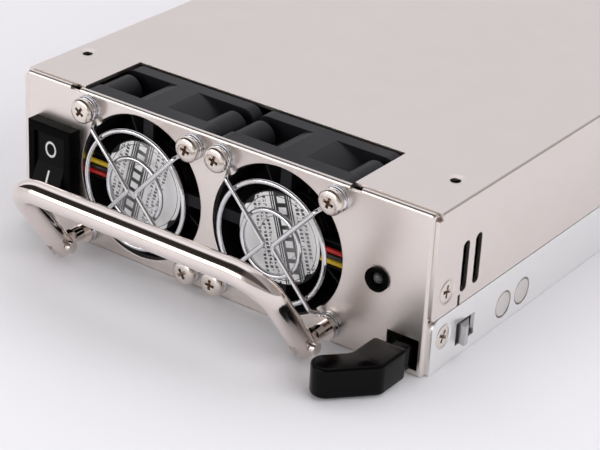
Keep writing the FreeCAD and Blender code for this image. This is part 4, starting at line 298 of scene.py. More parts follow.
@dataclass(frozen=True)
class Finish:
    """A surface finish that every material here is made from.

    Attributes:
        tone: base colour.
        accent: colour that patches and worn edges drift toward.
        roughness: mean roughness.
        spread: how far roughness varies.
        grain: size of the fine grain, in cells per metre.
        stretch: how the grain is drawn out along each axis.
        bump: height of the grain.
        metal: 1 for metals, 0 for the rest.
        edge: radius of the softened edges in metres.
        wear: how strongly edges are worn.
        scratches: how strongly hairlines show.
        drift: how far the colour drifts toward the accent in patches.
        coat: strength of a clear layer.
        shine: how strongly a surface that isn't metal reflects.
        recess: how strongly painted shade, tinted brown like dirt, darkens the colour in narrow recesses.
    """

    tone: Colour
    accent: Colour
    roughness: float = 0.4
    spread: float = 0.08
    grain: float = 4000.0
    stretch: Place = (1.0, 1.0, 1.0)
    bump: float = 0.05
    metal: float = 0.0
    edge: float = 0.00025
    wear: float = 0.3
    scratches: float = 0.0
    drift: float = 0.25
    coat: float = 0.0
    shine: float = 0.5
    recess: float = 0.0

    def material(self, name: str) -> Material:
        """The node material of this finish, made once for each name, which no node of the frame has."""
        label = "%s_finish" % name
        found = bpy.data.materials.get(label)
        if found:
            return found
        made, nodes, shader = new_material(label)
        self.wire(nodes, shader)
        return made

    def wire(self, nodes: Nodes, shader: Node, colour: object | None = None) -> None:
        """Join the finish to a shader.

        Args:
            nodes: tree to add to.
            shader: Principled shader to feed.
            colour: socket with a printed or patterned colour, in place of the plain tone.
        """
        grain = nodes.add("ShaderNodeGroup", {"node_tree": grain_group()}, Scale=self.grain,
                          Stretch=self.stretch)
        edges = nodes.add("ShaderNodeGroup", {"node_tree": edge_group()}, Radius=self.edge, Wear=self.wear)
        scratches = nodes.add("ShaderNodeGroup", {"node_tree": scratch_group()}, Amount=self.scratches)
        patches = nodes.times(grain.outputs["Patch"], self.drift)
        aged = nodes.mix(patches, colour or self.tone, self.accent)
        worn = nodes.mix(edges.outputs["Worn"], aged, self.accent)
        # Painted shade: ambient occlusion darkens narrow recesses toward a brown tone that also stands for
        # dirt, and worn carries this shade into the base colour
        if self.recess:
            unshaded = nodes.add("ShaderNodeAmbientOcclusion", {"samples": 6, "only_local": True},
                                 Distance=RECESS_REACH).outputs["AO"]
            worn = nodes.mix(nodes.ramp(unshaded, 0.92, 0.5, 0.0, self.recess), worn, RECESS_SHADE_TONE)
        low = self.roughness - self.spread
        high = self.roughness + self.spread
        rough = nodes.ramp(grain.outputs["Broad"], 0.0, 1.0, low, high, smooth=False)
        rough = nodes.math("ADD", rough, nodes.times(grain.outputs["Fine"], self.spread))
        rough = nodes.math("ADD", rough, nodes.times(scratches.outputs["Mask"], SCRATCH_ROUGHNESS),
                           clamp=True)
        height = nodes.math("SUBTRACT", grain.outputs["Fine"], scratches.outputs["Mask"])
        bump = nodes.add("ShaderNodeBump", None, Strength=self.bump, Distance=GRAIN_HEIGHT, Height=height,
                         Normal=edges.outputs["Normal"])
        nodes.fill(shader, Base_Color=worn, Metallic=self.metal, Roughness=rough, Normal=bump.outputs[0],
                   Specular_IOR_Level=self.shine, Coat_Weight=self.coat, Coat_Roughness=COAT_ROUGHNESS)


def metal(tone: Colour, roughness: float, **more: object) -> Finish:
    """A metal finish whose accent is a paler form of its tone."""
    accent = tuple(min(1.0, part * 1.12 + 0.02) for part in tone)
    settings = {"spread": 0.05, "bump": 0.03, "metal": 1.0, "wear": 0.35, "drift": 0.2, **more}
    return Finish(tone, accent, roughness, **settings)


def plastic(tone: Colour, roughness: float, **more: object) -> Finish:
    """A moulded plastic finish with a fine spark texture."""
    accent = tuple(min(1.0, part * 1.6 + 0.005) for part in tone)
    settings = {"spread": 0.07, "grain": 5200.0, "bump": 0.12, "wear": 0.35, "drift": 0.3, "shine": 0.3,
                **more}
    return Finish(tone, accent, roughness, **settings)


def insulation(tone: Colour) -> Finish:
    """Extruded wire insulation."""
    return plastic(tone, 0.34, stretch=(0.2, 1.0, 1.0), edge=0.00005, coat=0.2)


# Each finish, with the CAD nodes that it covers
# A finish's recess paints shade, tinted brown like dirt, into the narrow recesses and seams of the nodes it
# covers
FINISHES: dict[str, tuple[Finish, tuple[str, ...]]] = {
    "nickel": (metal((0.82, 0.755, 0.71), 0.3, stretch=(1.0, 0.35, 1.0), grain=2600.0, bump=0.008,
                     spread=0.02, drift=0.1, recess=0.55), ("base_tray", "front_panel", "top_cover")),
    "rail_steel": (metal((0.93, 0.935, 0.925), 0.3, stretch=(1.0, 0.05, 1.0), grain=5200.0, bump=0.008,
                         spread=0.02, drift=0.1, recess=0.4), ("latch_rail",)),
    "zinc": (metal((0.60, 0.60, 0.60), 0.3, scratches=0.3),
             ("latch_bracket", "latch_pin", "latch_arm", "latch_spring", "fan_1_shaft", "fan_2_shaft",
              "board_screws")),
    "rivet_steel": (metal((0.78, 0.75, 0.72), 0.34, scratches=0.2, recess=0.8), ("rail_rivets",)),
    "screw_nickel": (metal((0.80, 0.73, 0.67), 0.2, wear=0.6, scratches=0.3, edge=0.00012, recess=1.0),
                     ("case_screws", "guard_screws")),
    "chrome": (metal((0.78, 0.78, 0.80), 0.1, spread=0.03, bump=0.008, scratches=0.2, edge=0.00012),
               ("guard_washers",)),
    "polished_nickel": (metal((0.80, 0.725, 0.685), 0.08, spread=0.03, bump=0.008, scratches=0.25,
                              edge=0.00012), ("handle_posts", "handle_pins")),
    "black_gloss": (plastic((0.001, 0.0008, 0.001), 0.12, spread=0.05, bump=0.03, scratches=0.15, shine=0.11,
                            wear=0.1, drift=0.1), ()),
    "fan_black": (plastic((0.009, 0.0085, 0.0105), 0.36, bump=0.08, shine=0.2, wear=0.12),
                  ("fan_1_frame", "fan_2_frame", "fan_1_impeller", "fan_2_impeller")),
    "black_satin": (plastic((0.002, 0.0018, 0.0022), 0.34, shine=0.02, wear=0.1, drift=0.15),
                    ("switch_housing", "lamp_clip", "docking_connector", "power_transistors",
                     "output_rectifiers")),
    "rocker_black": (plastic((0.0025, 0.0022, 0.0027), 0.3, edge=0.0005, shine=0.06, wear=0.1, drift=0.15),
                     ("rocker_button",)),
    "smoked_lens": (plastic((0.07, 0.068, 0.07), 0.12, coat=0.4, bump=0.02), ("status_lamp",)),
    "ferrite": (plastic((0.05, 0.047, 0.05), 0.6, bump=0.3),
                ("fan_1_magnet", "fan_2_magnet", "transformer_core", "choke_core")),
    "copper": (metal((0.68, 0.32, 0.16), 0.32, stretch=(1.0, 0.1, 6.0), bump=0.2, grain=1800.0),
               ("fan_1_stator", "fan_2_stator", "choke_winding", "output_inductor")),
    "brass": (metal((0.72, 0.55, 0.26), 0.26),
              ("fan_bearings", "switch_terminals", "board_standoffs", "docking_blades")),
    "green_board": (plastic((0.03, 0.16, 0.08), 0.38), ("main_board", "control_board")),
    "black_sleeve": (plastic((0.03, 0.03, 0.035), 0.3), ("bulk_capacitors",)),
    "blue_sleeve": (plastic((0.03, 0.07, 0.2), 0.3), ("output_capacitors",)),
    "yellow_case": (plastic((0.6, 0.4, 0.06), 0.4), ("film_capacitors",)),
    "nylon": (plastic((0.72, 0.7, 0.64), 0.45), ("lead_plugs", "board_headers")),
    "tape": (plastic((0.7, 0.55, 0.1), 0.35), ("transformer_winding",)),
    "black_film": (plastic((0.03, 0.03, 0.03), 0.3), ("insulation_film",)),
    "aluminium": (metal((0.68, 0.69, 0.7), 0.34, stretch=(1.0, 0.05, 1.0)),
                  ("primary_heat_sink", "secondary_heat_sink")),
    "ceramic": (plastic((0.78, 0.76, 0.7), 0.25), ("line_fuse",)),
    "red_wire": (insulation((0.5, 0.012, 0.01)), ("fan_leads_red",)),
    "black_wire": (insulation((0.012, 0.012, 0.013)), ("fan_leads_black",)),
    "yellow_wire": (insulation((0.66, 0.44, 0.015)), ("fan_leads_yellow",)),
    "white_print": (plastic(Ink.WHITE.value, 0.5, bump=0.1, wear=0.0), ()),
}
LABEL_PAPER = plastic((1.0, 1.0, 1.0), 0.3, bump=0.04, wear=0.1)


def finished(name: str) -> Material:
    """The material of a finish, by its name in the table."""
    return FINISHES[name][0].material(name)


# Mesh building


def point(x: float, y: float, z: float) -> Vector:
    """A point given in millimetres, as a vector in metres."""
    return Vector((x, y, z)) * MM


def make_object(name: str, shape: bmesh.types.BMesh) -> Object:
    """Turn a bmesh into an object with smooth faces between sharp edges.

    Args:
        name: name of the object.
        shape: finished bmesh, which is freed.

    Returns:
        The object, linked to the scene.
    """
    bmesh.ops.recalc_face_normals(shape, faces=shape.faces)
    mesh = bpy.data.meshes.new(name)
    shape.to_mesh(mesh)
    shape.free()
    return link(name, mesh)


def link(name: str, data: bpy.types.ID, smooth_angle: float | None = SMOOTH_ANGLE) -> Object:
    """Put data into the scene as an object.

    Args:
        name: name of the object.
        data: mesh, curve, lamp or camera.
        smooth_angle: edges sharper than this many degrees stay sharp; None leaves the faces as they are.

    Returns:
        The object.
    """
    if smooth_angle is not None and isinstance(data, bpy.types.Mesh):
        data.shade_smooth()
        data.set_sharp_from_angle(angle=math.radians(smooth_angle))
    made = bpy.data.objects.new(name, data)
    bpy.context.scene.collection.objects.link(made)
    return made


def bake(obj: Object, smooth_angle: float = SMOOTH_ANGLE) -> Object:
    """Replace an object by a mesh object with its modifiers applied, under the same name."""
    bpy.context.view_layer.update()
    graph = bpy.context.evaluated_depsgraph_get()
    mesh = bpy.data.meshes.new_from_object(obj.evaluated_get(graph), depsgraph=graph)
    mesh.transform(obj.matrix_world)
    name = obj.name
    old = obj.data
    bpy.data.objects.remove(obj)
    (bpy.data.meshes if isinstance(old, bpy.types.Mesh) else bpy.data.curves).remove(old)
    mesh.name = name
    return link(name, mesh, smooth_angle)


def bevelled(obj: Object, width: float, segments: int = 3, angle: float = 35.0,
             smooth_angle: float = SMOOTH_ANGLE) -> Object:
    """Round an object's sharp edges by a width in millimetres."""
    modifier = obj.modifiers.new("bevel", "BEVEL")
    modifier.width = width * MM
    modifier.segments = segments
    modifier.limit_method = "ANGLE"
    modifier.angle_limit = math.radians(angle)
    modifier.harden_normals = False
    return bake(obj, smooth_angle)


def carved(obj: Object, cutters: Sequence[Object]) -> Object:
    """Take cutters out of an object, and remove them."""
    for cutter in cutters:
        modifier = obj.modifiers.new("cut", "BOOLEAN")
        modifier.operation = "DIFFERENCE"
        modifier.solver = "EXACT"
        modifier.object = cutter
    made = bake(obj)
    for cutter in cutters:
        discard(cutter)
    return made


def circle(count: int) -> list[tuple[float, float]]:
    """Cosine and sine at even steps round a circle."""
    angles = [2 * math.pi * step / count for step in range(count)]
    return [(math.cos(angle), math.sin(angle)) for angle in angles]


def bridge(shape: bmesh.types.BMesh, rings: Sequence[Sequence[bmesh.types.BMVert]]) -> None:
    """Join each ring of points to the next by faces; a ring of one point is a tip."""
    for low, high in zip(rings, rings[1:]):
        count = max(len(low), len(high))
        for step in range(count):
            after = (step + 1) % count
            corners = [low[step % len(low)], low[after % len(low)],
                       high[after % len(high)], high[step % len(high)]]
            unique = list(dict.fromkeys(corners))
            if len(unique) > 2:
                shape.faces.new(unique)


def turned(name: str, profile: Sequence[tuple[float, float]], segments: int = 48) -> Object:
    """A turned piece round +Z.

    Args:
        name: name of the object.
        profile: radius and height pairs in millimetres, from the axis outward and back to the axis.
        segments: facets round the axis.

    Returns:
        The object, standing at the origin.
    """
    shape = bmesh.new()
    rings: list[list[bmesh.types.BMVert]] = []
    for radius, height in profile:
        if radius < 1e-6:
            rings.append([shape.verts.new(point(0, 0, height))])
            continue
        rings.append([shape.verts.new(point(radius * x, radius * y, height)) for x, y in circle(segments)])
    bridge(shape, rings)
    return make_object(name, shape)


def aimed(obj: Object, axis: Axis, spot: Vector) -> Object:
    """Point a piece that stands on +Z along an axis, at a spot, with its place in its mesh."""
    turn = Vector((0, 0, 1)).rotation_difference(axis.vector).to_matrix().to_4x4()
    obj.data.transform(Matrix.Translation(spot) @ turn)
    return obj


def joined(first: Object, second: Object) -> Object:
    """Join a second piece to the first, and remove it."""
    shape = bmesh.new()
    shape.from_mesh(first.data)
    shape.from_mesh(second.data)
    shape.to_mesh(first.data)
    shape.free()
    discard(second)
    first.data.set_sharp_from_angle(angle=math.radians(SMOOTH_ANGLE))
    return first


def block(name: str, low: Vector, high: Vector) -> Object:
    """A closed block between two corners in metres."""
    shape = bmesh.new()
    bmesh.ops.create_cube(shape, size=1.0)
    size = high - low
    for vert in shape.verts:
        vert.co = Vector(a * b for a, b in zip(vert.co, size)) + (low + high) / 2
    return make_object(name, shape)


def rounded_outline(corners: Sequence[tuple[float, float]], radii: Sequence[float],
                    steps: int = 8) -> list[Vector]:
    """A closed outline whose corners are arcs.

    Args:
        corners: corner points in order.
        radii: radius of the arc at each corner.
        steps: pieces in each arc.

    Returns:
        The points of the outline, in the same units.
    """
    outline: list[Vector] = []
    count = len(corners)
    for index, radius in enumerate(radii):
        corner = Vector(corners[index])
        before = (Vector(corners[index - 1]) - corner).normalized()
        after = (Vector(corners[(index + 1) % count]) - corner).normalized()
        half = before.angle(after) / 2
        reach = radius / math.tan(half)
        centre = corner + (before + after).normalized() * (radius / math.sin(half))
        start = corner + before * reach - centre
        end = corner + after * reach - centre
        sweep = start.angle_signed(end)
        for step in range(steps + 1):
            turn = Matrix.Rotation(-sweep * step / steps, 2)
            outline.append(centre + turn @ start)
    return outline


def prism(name: str, outline: Sequence[Vector], low: float, high: float) -> Object:
    """An upright prism from an outline in millimetres between two heights."""
    shape = bmesh.new()
    bottom = [shape.verts.new(point(spot.x, spot.y, low)) for spot in outline]
    top = [shape.verts.new(point(spot.x, spot.y, high)) for spot in outline]
    shape.faces.new(reversed(bottom))
    shape.faces.new(top)
    bridge(shape, (bottom, top))
    return make_object(name, shape)


def put(obj: Object, body: str, finish: Material, replaced: Sequence[str] = ()) -> None:
    """Give a finished piece its material and body, and hide the CAD nodes that it stands for.

    Args:
        obj: the piece.
        body: name of the body that it moves with.
        finish: its material.
        replaced: CAD nodes that it stands for.
    """
    obj.data.materials.clear()
    obj.data.materials.append(finish)
    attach(obj, body)
    if replaced:
        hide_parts(*replaced)


# Geometry Nodes


def geometry_group(name: str, inputs: dict[str, tuple[str, object]],
                   wire: Callable[[Nodes, Node], Socket]) -> Tree:
    """Make a Geometry Nodes group that ends in Realize Instances and Set Material.

    Args:
        name: name of the group.
        inputs: kind and default of each named input after the geometry.
        wire: function that fills the group and returns the geometry to realize.

    Returns:
        The group, made once.
    """
    found = bpy.data.node_groups.get(name)
    if found:
        return found
    every = {"Geometry": ("NodeSocketGeometry", None), **inputs, "Finish": ("NodeSocketMaterial", None)}
    tree = new_group(name, "GeometryNodeTree", every, {"Geometry": "NodeSocketGeometry"})
    nodes = Nodes(tree)
    start = tree.nodes.new("NodeGroupInput")
    shaped = wire(nodes, start)
    real = nodes.add("GeometryNodeRealizeInstances", None, Geometry=shaped)
    smooth = nodes.add("GeometryNodeSetShadeSmooth", None, Geometry=real.outputs[0])
    painted = nodes.add("GeometryNodeSetMaterial", None, Geometry=smooth.outputs[0],
                        Material=start.outputs["Finish"])
    end = tree.nodes.new("NodeGroupOutput")
    tree.links.new(painted.outputs[0], end.inputs[0])
    return tree


def run_group(obj: Object, group: Tree, **values: object) -> Object:
    """Run a Geometry Nodes group on an object with named inputs, and keep the resulting mesh."""
    modifier = obj.modifiers.new("nodes", "NODES")
    modifier.node_group = group
    named = {item.name: item.identifier for item in group.interface.items_tree
             if item.item_type == "SOCKET" and item.in_out == "INPUT"}
    for label, value in values.items():
        modifier[named[label.replace("_", " ")]] = value
    return bake(obj)


def bent_wire_group() -> Tree:
    """Wire bent along a path: rounded corners and a round section."""

    def wire(nodes: Nodes, start: Node) -> Socket:
        fillet = nodes.add("GeometryNodeFilletCurve", {"mode": "POLY"}, Curve=start.outputs["Geometry"],
                           Radius=start.outputs["Bend radius"], Count=10, Limit_Radius=True)
        section = nodes.add("GeometryNodeCurvePrimitiveCircle", None, Resolution=20,
                            Radius=start.outputs["Wire radius"])
        tube = nodes.add("GeometryNodeCurveToMesh", None, Curve=fillet.outputs[0],
                         Profile_Curve=section.outputs[0], Fill_Caps=True)
        return tube.outputs[0]

    return geometry_group("bent_wire", {"Wire radius": ("NodeSocketFloat", 0.00075),
                                        "Bend radius": ("NodeSocketFloat", 0.001)}, wire)


def fastener_group() -> Tree:
    """Copies of one fastener at each point, aimed along a direction and turned at random."""

    def wire(nodes: Nodes, start: Node) -> Socket:
        info = nodes.add("GeometryNodeObjectInfo", None, Object=start.outputs["Fastener"])
        aim = nodes.add("FunctionNodeAlignRotationToVector", {"axis": "Z"}, Vector=start.outputs["Aim"])
        chance = nodes.add("FunctionNodeRandomValue", {"data_type": "FLOAT"}, Seed=start.outputs["Seed"])
        chance.inputs[2].default_value = 0.0
        chance.inputs[3].default_value = math.pi / 2
        spin = nodes.add("FunctionNodeAxisAngleToRotation", None, Angle=chance.outputs[1])
        turn = nodes.add("FunctionNodeRotateRotation", {"rotation_space": "LOCAL"},
                         Rotation=aim.outputs[0], Rotate_By=spin.outputs[0])
        copies = nodes.add("GeometryNodeInstanceOnPoints", None, Points=start.outputs["Geometry"],
                           Instance=info.outputs["Geometry"], Rotation=turn.outputs[0])
        return copies.outputs[0]

    return geometry_group("fasteners", {"Fastener": ("NodeSocketObject", None),
                                        "Aim": ("NodeSocketVector", (0.0, -1.0, 0.0)),
                                        "Seed": ("NodeSocketInt", 7)}, wire)


def wire_path(name: str, paths: Sequence[tuple[Sequence[Vector], bool]]) -> Object:
    """A curve object with one poly spline for each path and whether it closes."""
    curve = bpy.data.curves.new(name, "CURVE")
    curve.dimensions = "3D"
    for spots, closed in paths:
        spline = curve.splines.new("POLY")
        spline.points.add(len(spots) - 1)
        for target, spot in zip(spline.points, spots):
            target.co = (*spot, 1.0)
        spline.use_cyclic_u = closed
    return link(name, curve, None)


def scattered(name: str, fastener: Object, spots: Sequence[Vector], axis: Axis, seed: int,
              finish: Material) -> Object:
    """One object with a copy of a fastener at each spot."""
    mesh = bpy.data.meshes.new(name)
    mesh.from_pydata([tuple(spot) for spot in spots], [], [])
    base = link(name, mesh, None)
    return run_group(base, fastener_group(), Fastener=fastener, Aim=tuple(axis.value), Seed=seed,
                     Finish=finish)


def discard(obj: Object) -> None:
    """Remove a helper object and its mesh."""
    data = obj.data
    bpy.data.objects.remove(obj)
    bpy.data.meshes.remove(data)


def cross_cutter(name: str, reach: float, width: float, top: float, depth: float) -> list[Object]:
    """Tapered cross recess for a screw head whose top lies at a height."""
    cutters = []
    for index in range(2):
        shape = bmesh.new()
        rings = []
        for height, scale in ((top + 0.4, 1.18), (top - depth, 0.42)):
            length = reach * scale
            half = width / 2 * (0.7 + 0.3 * scale)
            ring = [(-length, -half), (length, -half), (length, half), (-length, half)]
            if index:
                ring = [(y, x) for x, y in ring]
            rings.append([shape.verts.new(point(x, y, height)) for x, y in ring])
        shape.faces.new(rings[0])
        shape.faces.new(rings[1])
        bridge(shape, rings)
        cutters.append(make_object("%s_%d" % (name, index), shape))
    return cutters


# Sub-assemblies


@dataclass
class CaseScrews:
    """Countersunk case screws with their cross recesses."""

    head_radius: float = 3.1
    inset: float = 6.4
    cover_height: float = 19.4
    rail_height: float = 8.1

    def spots(self) -> dict[Axis, list[Vector]]:
        """Middles of the heads on each side, where only the right side has the rail's screws."""
        ends = (FRONT + self.inset, -FRONT - self.inset)
        heights = (self.cover_height, self.rail_height)
        return {
            Axis.RIGHT: [point(HALF_WIDTH, y, z) for y in ends for z in heights],
            Axis.LEFT: [point(-HALF_WIDTH, y, self.cover_height) for y in ends],
        }

    def dress(self) -> None:
        """Put the screws on the case, flush with the sheet and with a groove round each head."""
        radius = self.head_radius
        profile = [(0, -0.02), (radius - 0.75, -0.03), (radius - 0.5, -0.12), (radius - 0.42, -0.4),
                   (1.5, -1.2), (1.5, -3.0), (0, -3.0)]
        screw = turned("case_screw_master", profile)
        screw = carved(screw, cross_cutter("case_cross", reach=1.6, width=0.8, top=0.0, depth=1.4))
        screw = bevelled(screw, 0.05, 2)
        finish = finished("screw_nickel")
        for seed, (axis, spots) in enumerate(self.spots().items(), start=3):
            made = scattered("case_screws_%s" % axis.name.lower(), screw, spots, axis, seed, finish)
            put(made, "chassis", finish, ("case_screws",))
        discard(screw)


@dataclass
class RailRivets:
    """The two rivets of the latch bracket, with a bevelled rim on each head."""

    head_radius: float = 3.4
    head_depth: float = 0.6
    shank_radius: float = 1.6
    tail_radius: float = 2.5
    tail_depth: float = 0.7
    sheets: float = 2.0
    first: float = 32.7
    pitch: float = 8.5
    height: float = 5.1

    def dress(self) -> None:
        """Put the rivets into the rail."""
        rim, shank, tail = self.head_radius, self.shank_radius, self.tail_radius
        sheets, end = self.sheets, self.sheets + self.tail_depth
        profile = [(0, -0.03), (rim - 0.55, -0.03), (rim - 0.4, -0.08), (rim - 0.3, -0.5), (rim, -0.52),
                   (rim, -self.head_depth), (shank, -self.head_depth), (shank, -sheets), (tail, -sheets),
                   (tail, -end), (0, -end)]
        master = bevelled(turned("rivet_master", profile), 0.05, 2)
        finish = finished("rivet_steel")
        places = [point(HALF_WIDTH, FRONT + self.first + step * self.pitch, self.height) for step in range(2)]
        made = scattered("rail_rivets_fine", master, places, Axis.RIGHT, seed=5, finish=finish)
        put(made, "chassis", finish, ("rail_rivets",))
        discard(master)


@dataclass
class FingerGuards:
    """Bent wire guards with the screws that clamp them."""

    wire: float = GUARD_WIRE
    outer_ring: float = 14.9
    inner_ring: float = 8.1
    rise: float = 2.0
    foot: float = 17.6
    loop: float = 2.65
    elbow: float = 1.1
    lock_washer: float = 0.6
    head_radius: float = 3.2
    head_depth: float = 1.45
    facets: int = 56

    def paths(self, left: float) -> list[tuple[list[Vector], bool]]:
        """Centre lines of one guard: rings, loops and spokes."""
        foot_y = FRONT - WASHER - self.wire
        crest_y = foot_y - self.rise
        ring_y = crest_y + self.wire * 1.8
        paths = [(ring_points(left, ring_y, FAN_HEIGHT, radius, 72), True)
                 for radius in (self.outer_ring, self.inner_ring)]
        foot = self.foot / math.sqrt(2)
        eye = HOLE_HALF - self.loop / math.sqrt(2)
        toe = (foot + eye) / 2
        for side in (-1, 1):
            way = [(side * eye, foot_y, eye), (side * toe, foot_y, toe), (side * foot, crest_y, foot),
                   (side * self.elbow, crest_y, 0), (side * foot, crest_y, -foot),
                   (side * toe, foot_y, -toe), (side * eye, foot_y, -eye)]
            paths.append(([point(left + x, y, FAN_HEIGHT + z) for x, y, z in way], False))
            for up in (-HOLE_HALF, HOLE_HALF):
                loop = ring_points(left + side * HOLE_HALF, foot_y, FAN_HEIGHT + up, self.loop, 32)
                paths.append((loop, True))
        return paths

    def guard(self, number: int, left: float) -> Object:
        """One guard in front of a fan whose middle lies at a distance across."""
        base = wire_path("guard_%d" % number, self.paths(left))
        return run_group(base, bent_wire_group(), Wire_radius=self.wire * MM,
                         Bend_radius=self.wire * 1.6 * MM, Finish=finished("chrome"))

    def screws(self) -> Object:
        """Pan-head screws on split lock washers, at the corners that carry no post."""
        low = self.lock_washer
        top = low + self.head_depth
        edge = self.head_radius
        profile = [(0, top), (1.6, top - 0.03), (2.3, top - 0.13), (2.8, top - 0.36), (3.08, top - 0.68),
                   (edge, top - 1.05), (edge, low + 0.08), (edge - 0.08, low), (1.5, low), (1.5, -10.0),
                   (0, -10.0)]
        screw = turned("guard_screw_master", profile, self.facets)
        screw = carved(screw, cross_cutter("guard_cross", reach=1.42, width=0.8, top=top, depth=1.3))
        screw = bevelled(screw, 0.05, 2)
        washer = turned("lock_washer", [(1.7, 0.06), (1.76, 0.0), (2.84, 0.0), (2.9, 0.06), (2.9, low - 0.06),
                                        (2.84, low), (1.76, low), (1.7, low - 0.06), (1.7, 0.06)],
                        self.facets)
        gap = block("washer_gap", point(1.5, -0.2, -0.1), point(3.1, 0.2, low + 0.1))
        screw = joined(screw, carved(washer, [gap]))
        corners = [(left + across, FAN_HEIGHT + up) for left in FAN_CENTRES
                   for across in (-HOLE_HALF, HOLE_HALF) for up in (-HOLE_HALF, HOLE_HALF)]
        spots = [point(x, LOOP_FRONT, z) for x, z in corners
                 if z > FAN_HEIGHT or min(abs(x - post) for post in POSTS) > 1]
        made = scattered("guard_screws_fine", screw, spots, Axis.FORWARD, seed=11,
                         finish=finished("screw_nickel"))
        discard(screw)
        return made

    def dress(self) -> None:
        """Put guards and screws on the case."""
        for number, left in enumerate(FAN_CENTRES, start=1):
            put(self.guard(number, left), "chassis", finished("chrome"), ("fan_%d_guard" % number,))
        put(self.screws(), "chassis", finished("screw_nickel"), ("guard_screws",))


def ring_points(x: float, y: float, z: float, radius: float, count: int) -> list[Vector]:
    """Points of a ring that faces the front, in millimetres round its centre."""
    return [point(x + radius * right, y, z + radius * up) for right, up in circle(count)]


@dataclass
class BailHandle:
    """Handle bent from one polished rod, with a fork at each end."""

    radius: float = 2.9
    reach: float = 26.8
    bend: float = 8.6
    tilt: float = 54.0
    tail: float = 2.5
    straight: tuple[float, float] = (4.0, 12.0)
    arc_steps: int = 24
    slot: float = 2.0
    slot_depth: float = 5.6
    end_round: float = 0.5
    sides: int = 64

    def along(self) -> Vector:
        """Direction from the hinge to the bar at rest."""
        angle = math.radians(self.tilt)
        return Vector((0, -math.cos(angle), math.sin(angle)))

    def centre_line(self) -> list[Vector]:
        """Middle of the rod from one end to the other, in millimetres across and along."""
        half = (POSTS[1] - POSTS[0]) / 2
        spots = [Vector((half, up)) for up in (-self.tail, *self.straight)]
        for step in range(self.arc_steps + 1):
            angle = math.radians(90 * step / self.arc_steps)
            spots.append(Vector((half - self.bend + self.bend * math.cos(angle),
                                 self.reach - self.bend + self.bend * math.sin(angle))))
        return [Vector((-spot.x, spot.y)) for spot in spots] + spots[::-1]

    def build(self) -> Object:
        """Sweep the rod, round its ends and cut the forks."""
        spots = self.centre_line()
        up = self.along()
        across = Vector((1, 0, 0))
        normal = across.cross(up)
        origin = Vector(((POSTS[0] + POSTS[1]) / 2, PIVOT[0], PIVOT[1]))
        shape = bmesh.new()
        rings = []
        ends = [(self.end_round * (1 - math.sin(angle)), self.end_round * (1 - math.cos(angle)))
                for angle in (math.radians(part) for part in (0, 22, 45, 67, 90))]
        last = len(spots) - 1
        for index, spot in enumerate(spots):
            before = spots[max(index - 1, 0)]
            after = spots[min(index + 1, last)]
            heading = (after - before).normalized()
            flat = Vector((heading.y, -heading.x))
            side_way = across * flat.x + up * flat.y
            inward = heading if index == 0 else -heading
            steps = {0: ends, last: ends[::-1]}.get(index, [(0.0, 0.0)])
            for shrink, setback in steps:
                centre = spot + inward * setback
                middle = origin + across * centre.x + up * centre.y
                size = self.radius - shrink
                rings.append([shape.verts.new((middle + side_way * (size * x) + normal * (size * y)) * MM)
                              for x, y in circle(self.sides)])
        bridge(shape, rings)
        shape.faces.new(rings[0])
        shape.faces.new(reversed(rings[-1]))
        rod = make_object("handle_rod", shape)
        cutters = [self.slot_cutter(index, x) for index, x in enumerate(POSTS)]
        return carved(rod, cutters)

    def slot_cutter(self, index: int, x: float) -> Object:
        """Block that cuts one fork."""
        half = self.slot / 2
        tool = block("slot_%d" % index, point(-half, -self.tail - 1, -self.radius - 1),
                     point(half, self.slot_depth - self.tail, self.radius + 1))
        up = self.along()
        turn = Vector((0, 1, 0)).rotation_difference(up).to_matrix().to_4x4()
        tool.data.transform(Matrix.Translation(point(x, PIVOT[0], PIVOT[1])) @ turn)
        return tool

    def dress(self) -> None:
        """Put the handle on its body."""
        put(self.build(), "handle", finished("polished_nickel"), ("carry_handle",))


@dataclass
class ThumbLatch:
    """Glossy tab on the end of the latch arm."""

    inner: float = 47.75
    outer: float = 56.65
    rear: float = -102.9
    low: float = 0.4
    high: float = 7.9
    elbow: float = 9.7
    tip: tuple[float, float] = (10.1, 11.3)
    heel: tuple[float, float] = (5.3, 4.7)
    inner_elbow: float = 0.6
    radii: tuple[float, ...] = (1.2, 1.2, 2.6, 3.3, 3.3, 2.6)
    neck_low: Place = (52.4, -105.3, 1.8)
    neck_high: Place = (56.2, -94.5, 7.8)

    def build(self) -> Object:
        """Make the bent tab with rounded edges, and its neck through the panel's window."""
        elbow = self.rear - self.elbow
        tip = (self.outer - self.tip[0], elbow - self.tip[1])
        heel = (tip[0] - self.heel[0], tip[1] + self.heel[1])
        corners = [(self.inner, self.rear), (self.outer, self.rear), (self.outer, elbow), tip, heel,
                   (self.inner, elbow + self.inner_elbow)]
        outline = rounded_outline(corners, self.radii)
        tab = bevelled(prism("tab", outline, self.low, self.high), 0.75, 5, 50.0, 40.0)
        neck = block("neck", point(*self.neck_low), point(*self.neck_high))
        return joined(tab, bevelled(neck, 0.3, 3))

    def dress(self) -> None:
        """Put the tab on the latch."""
        put(self.build(), "latch", finished("black_gloss"), ("latch_tab",))


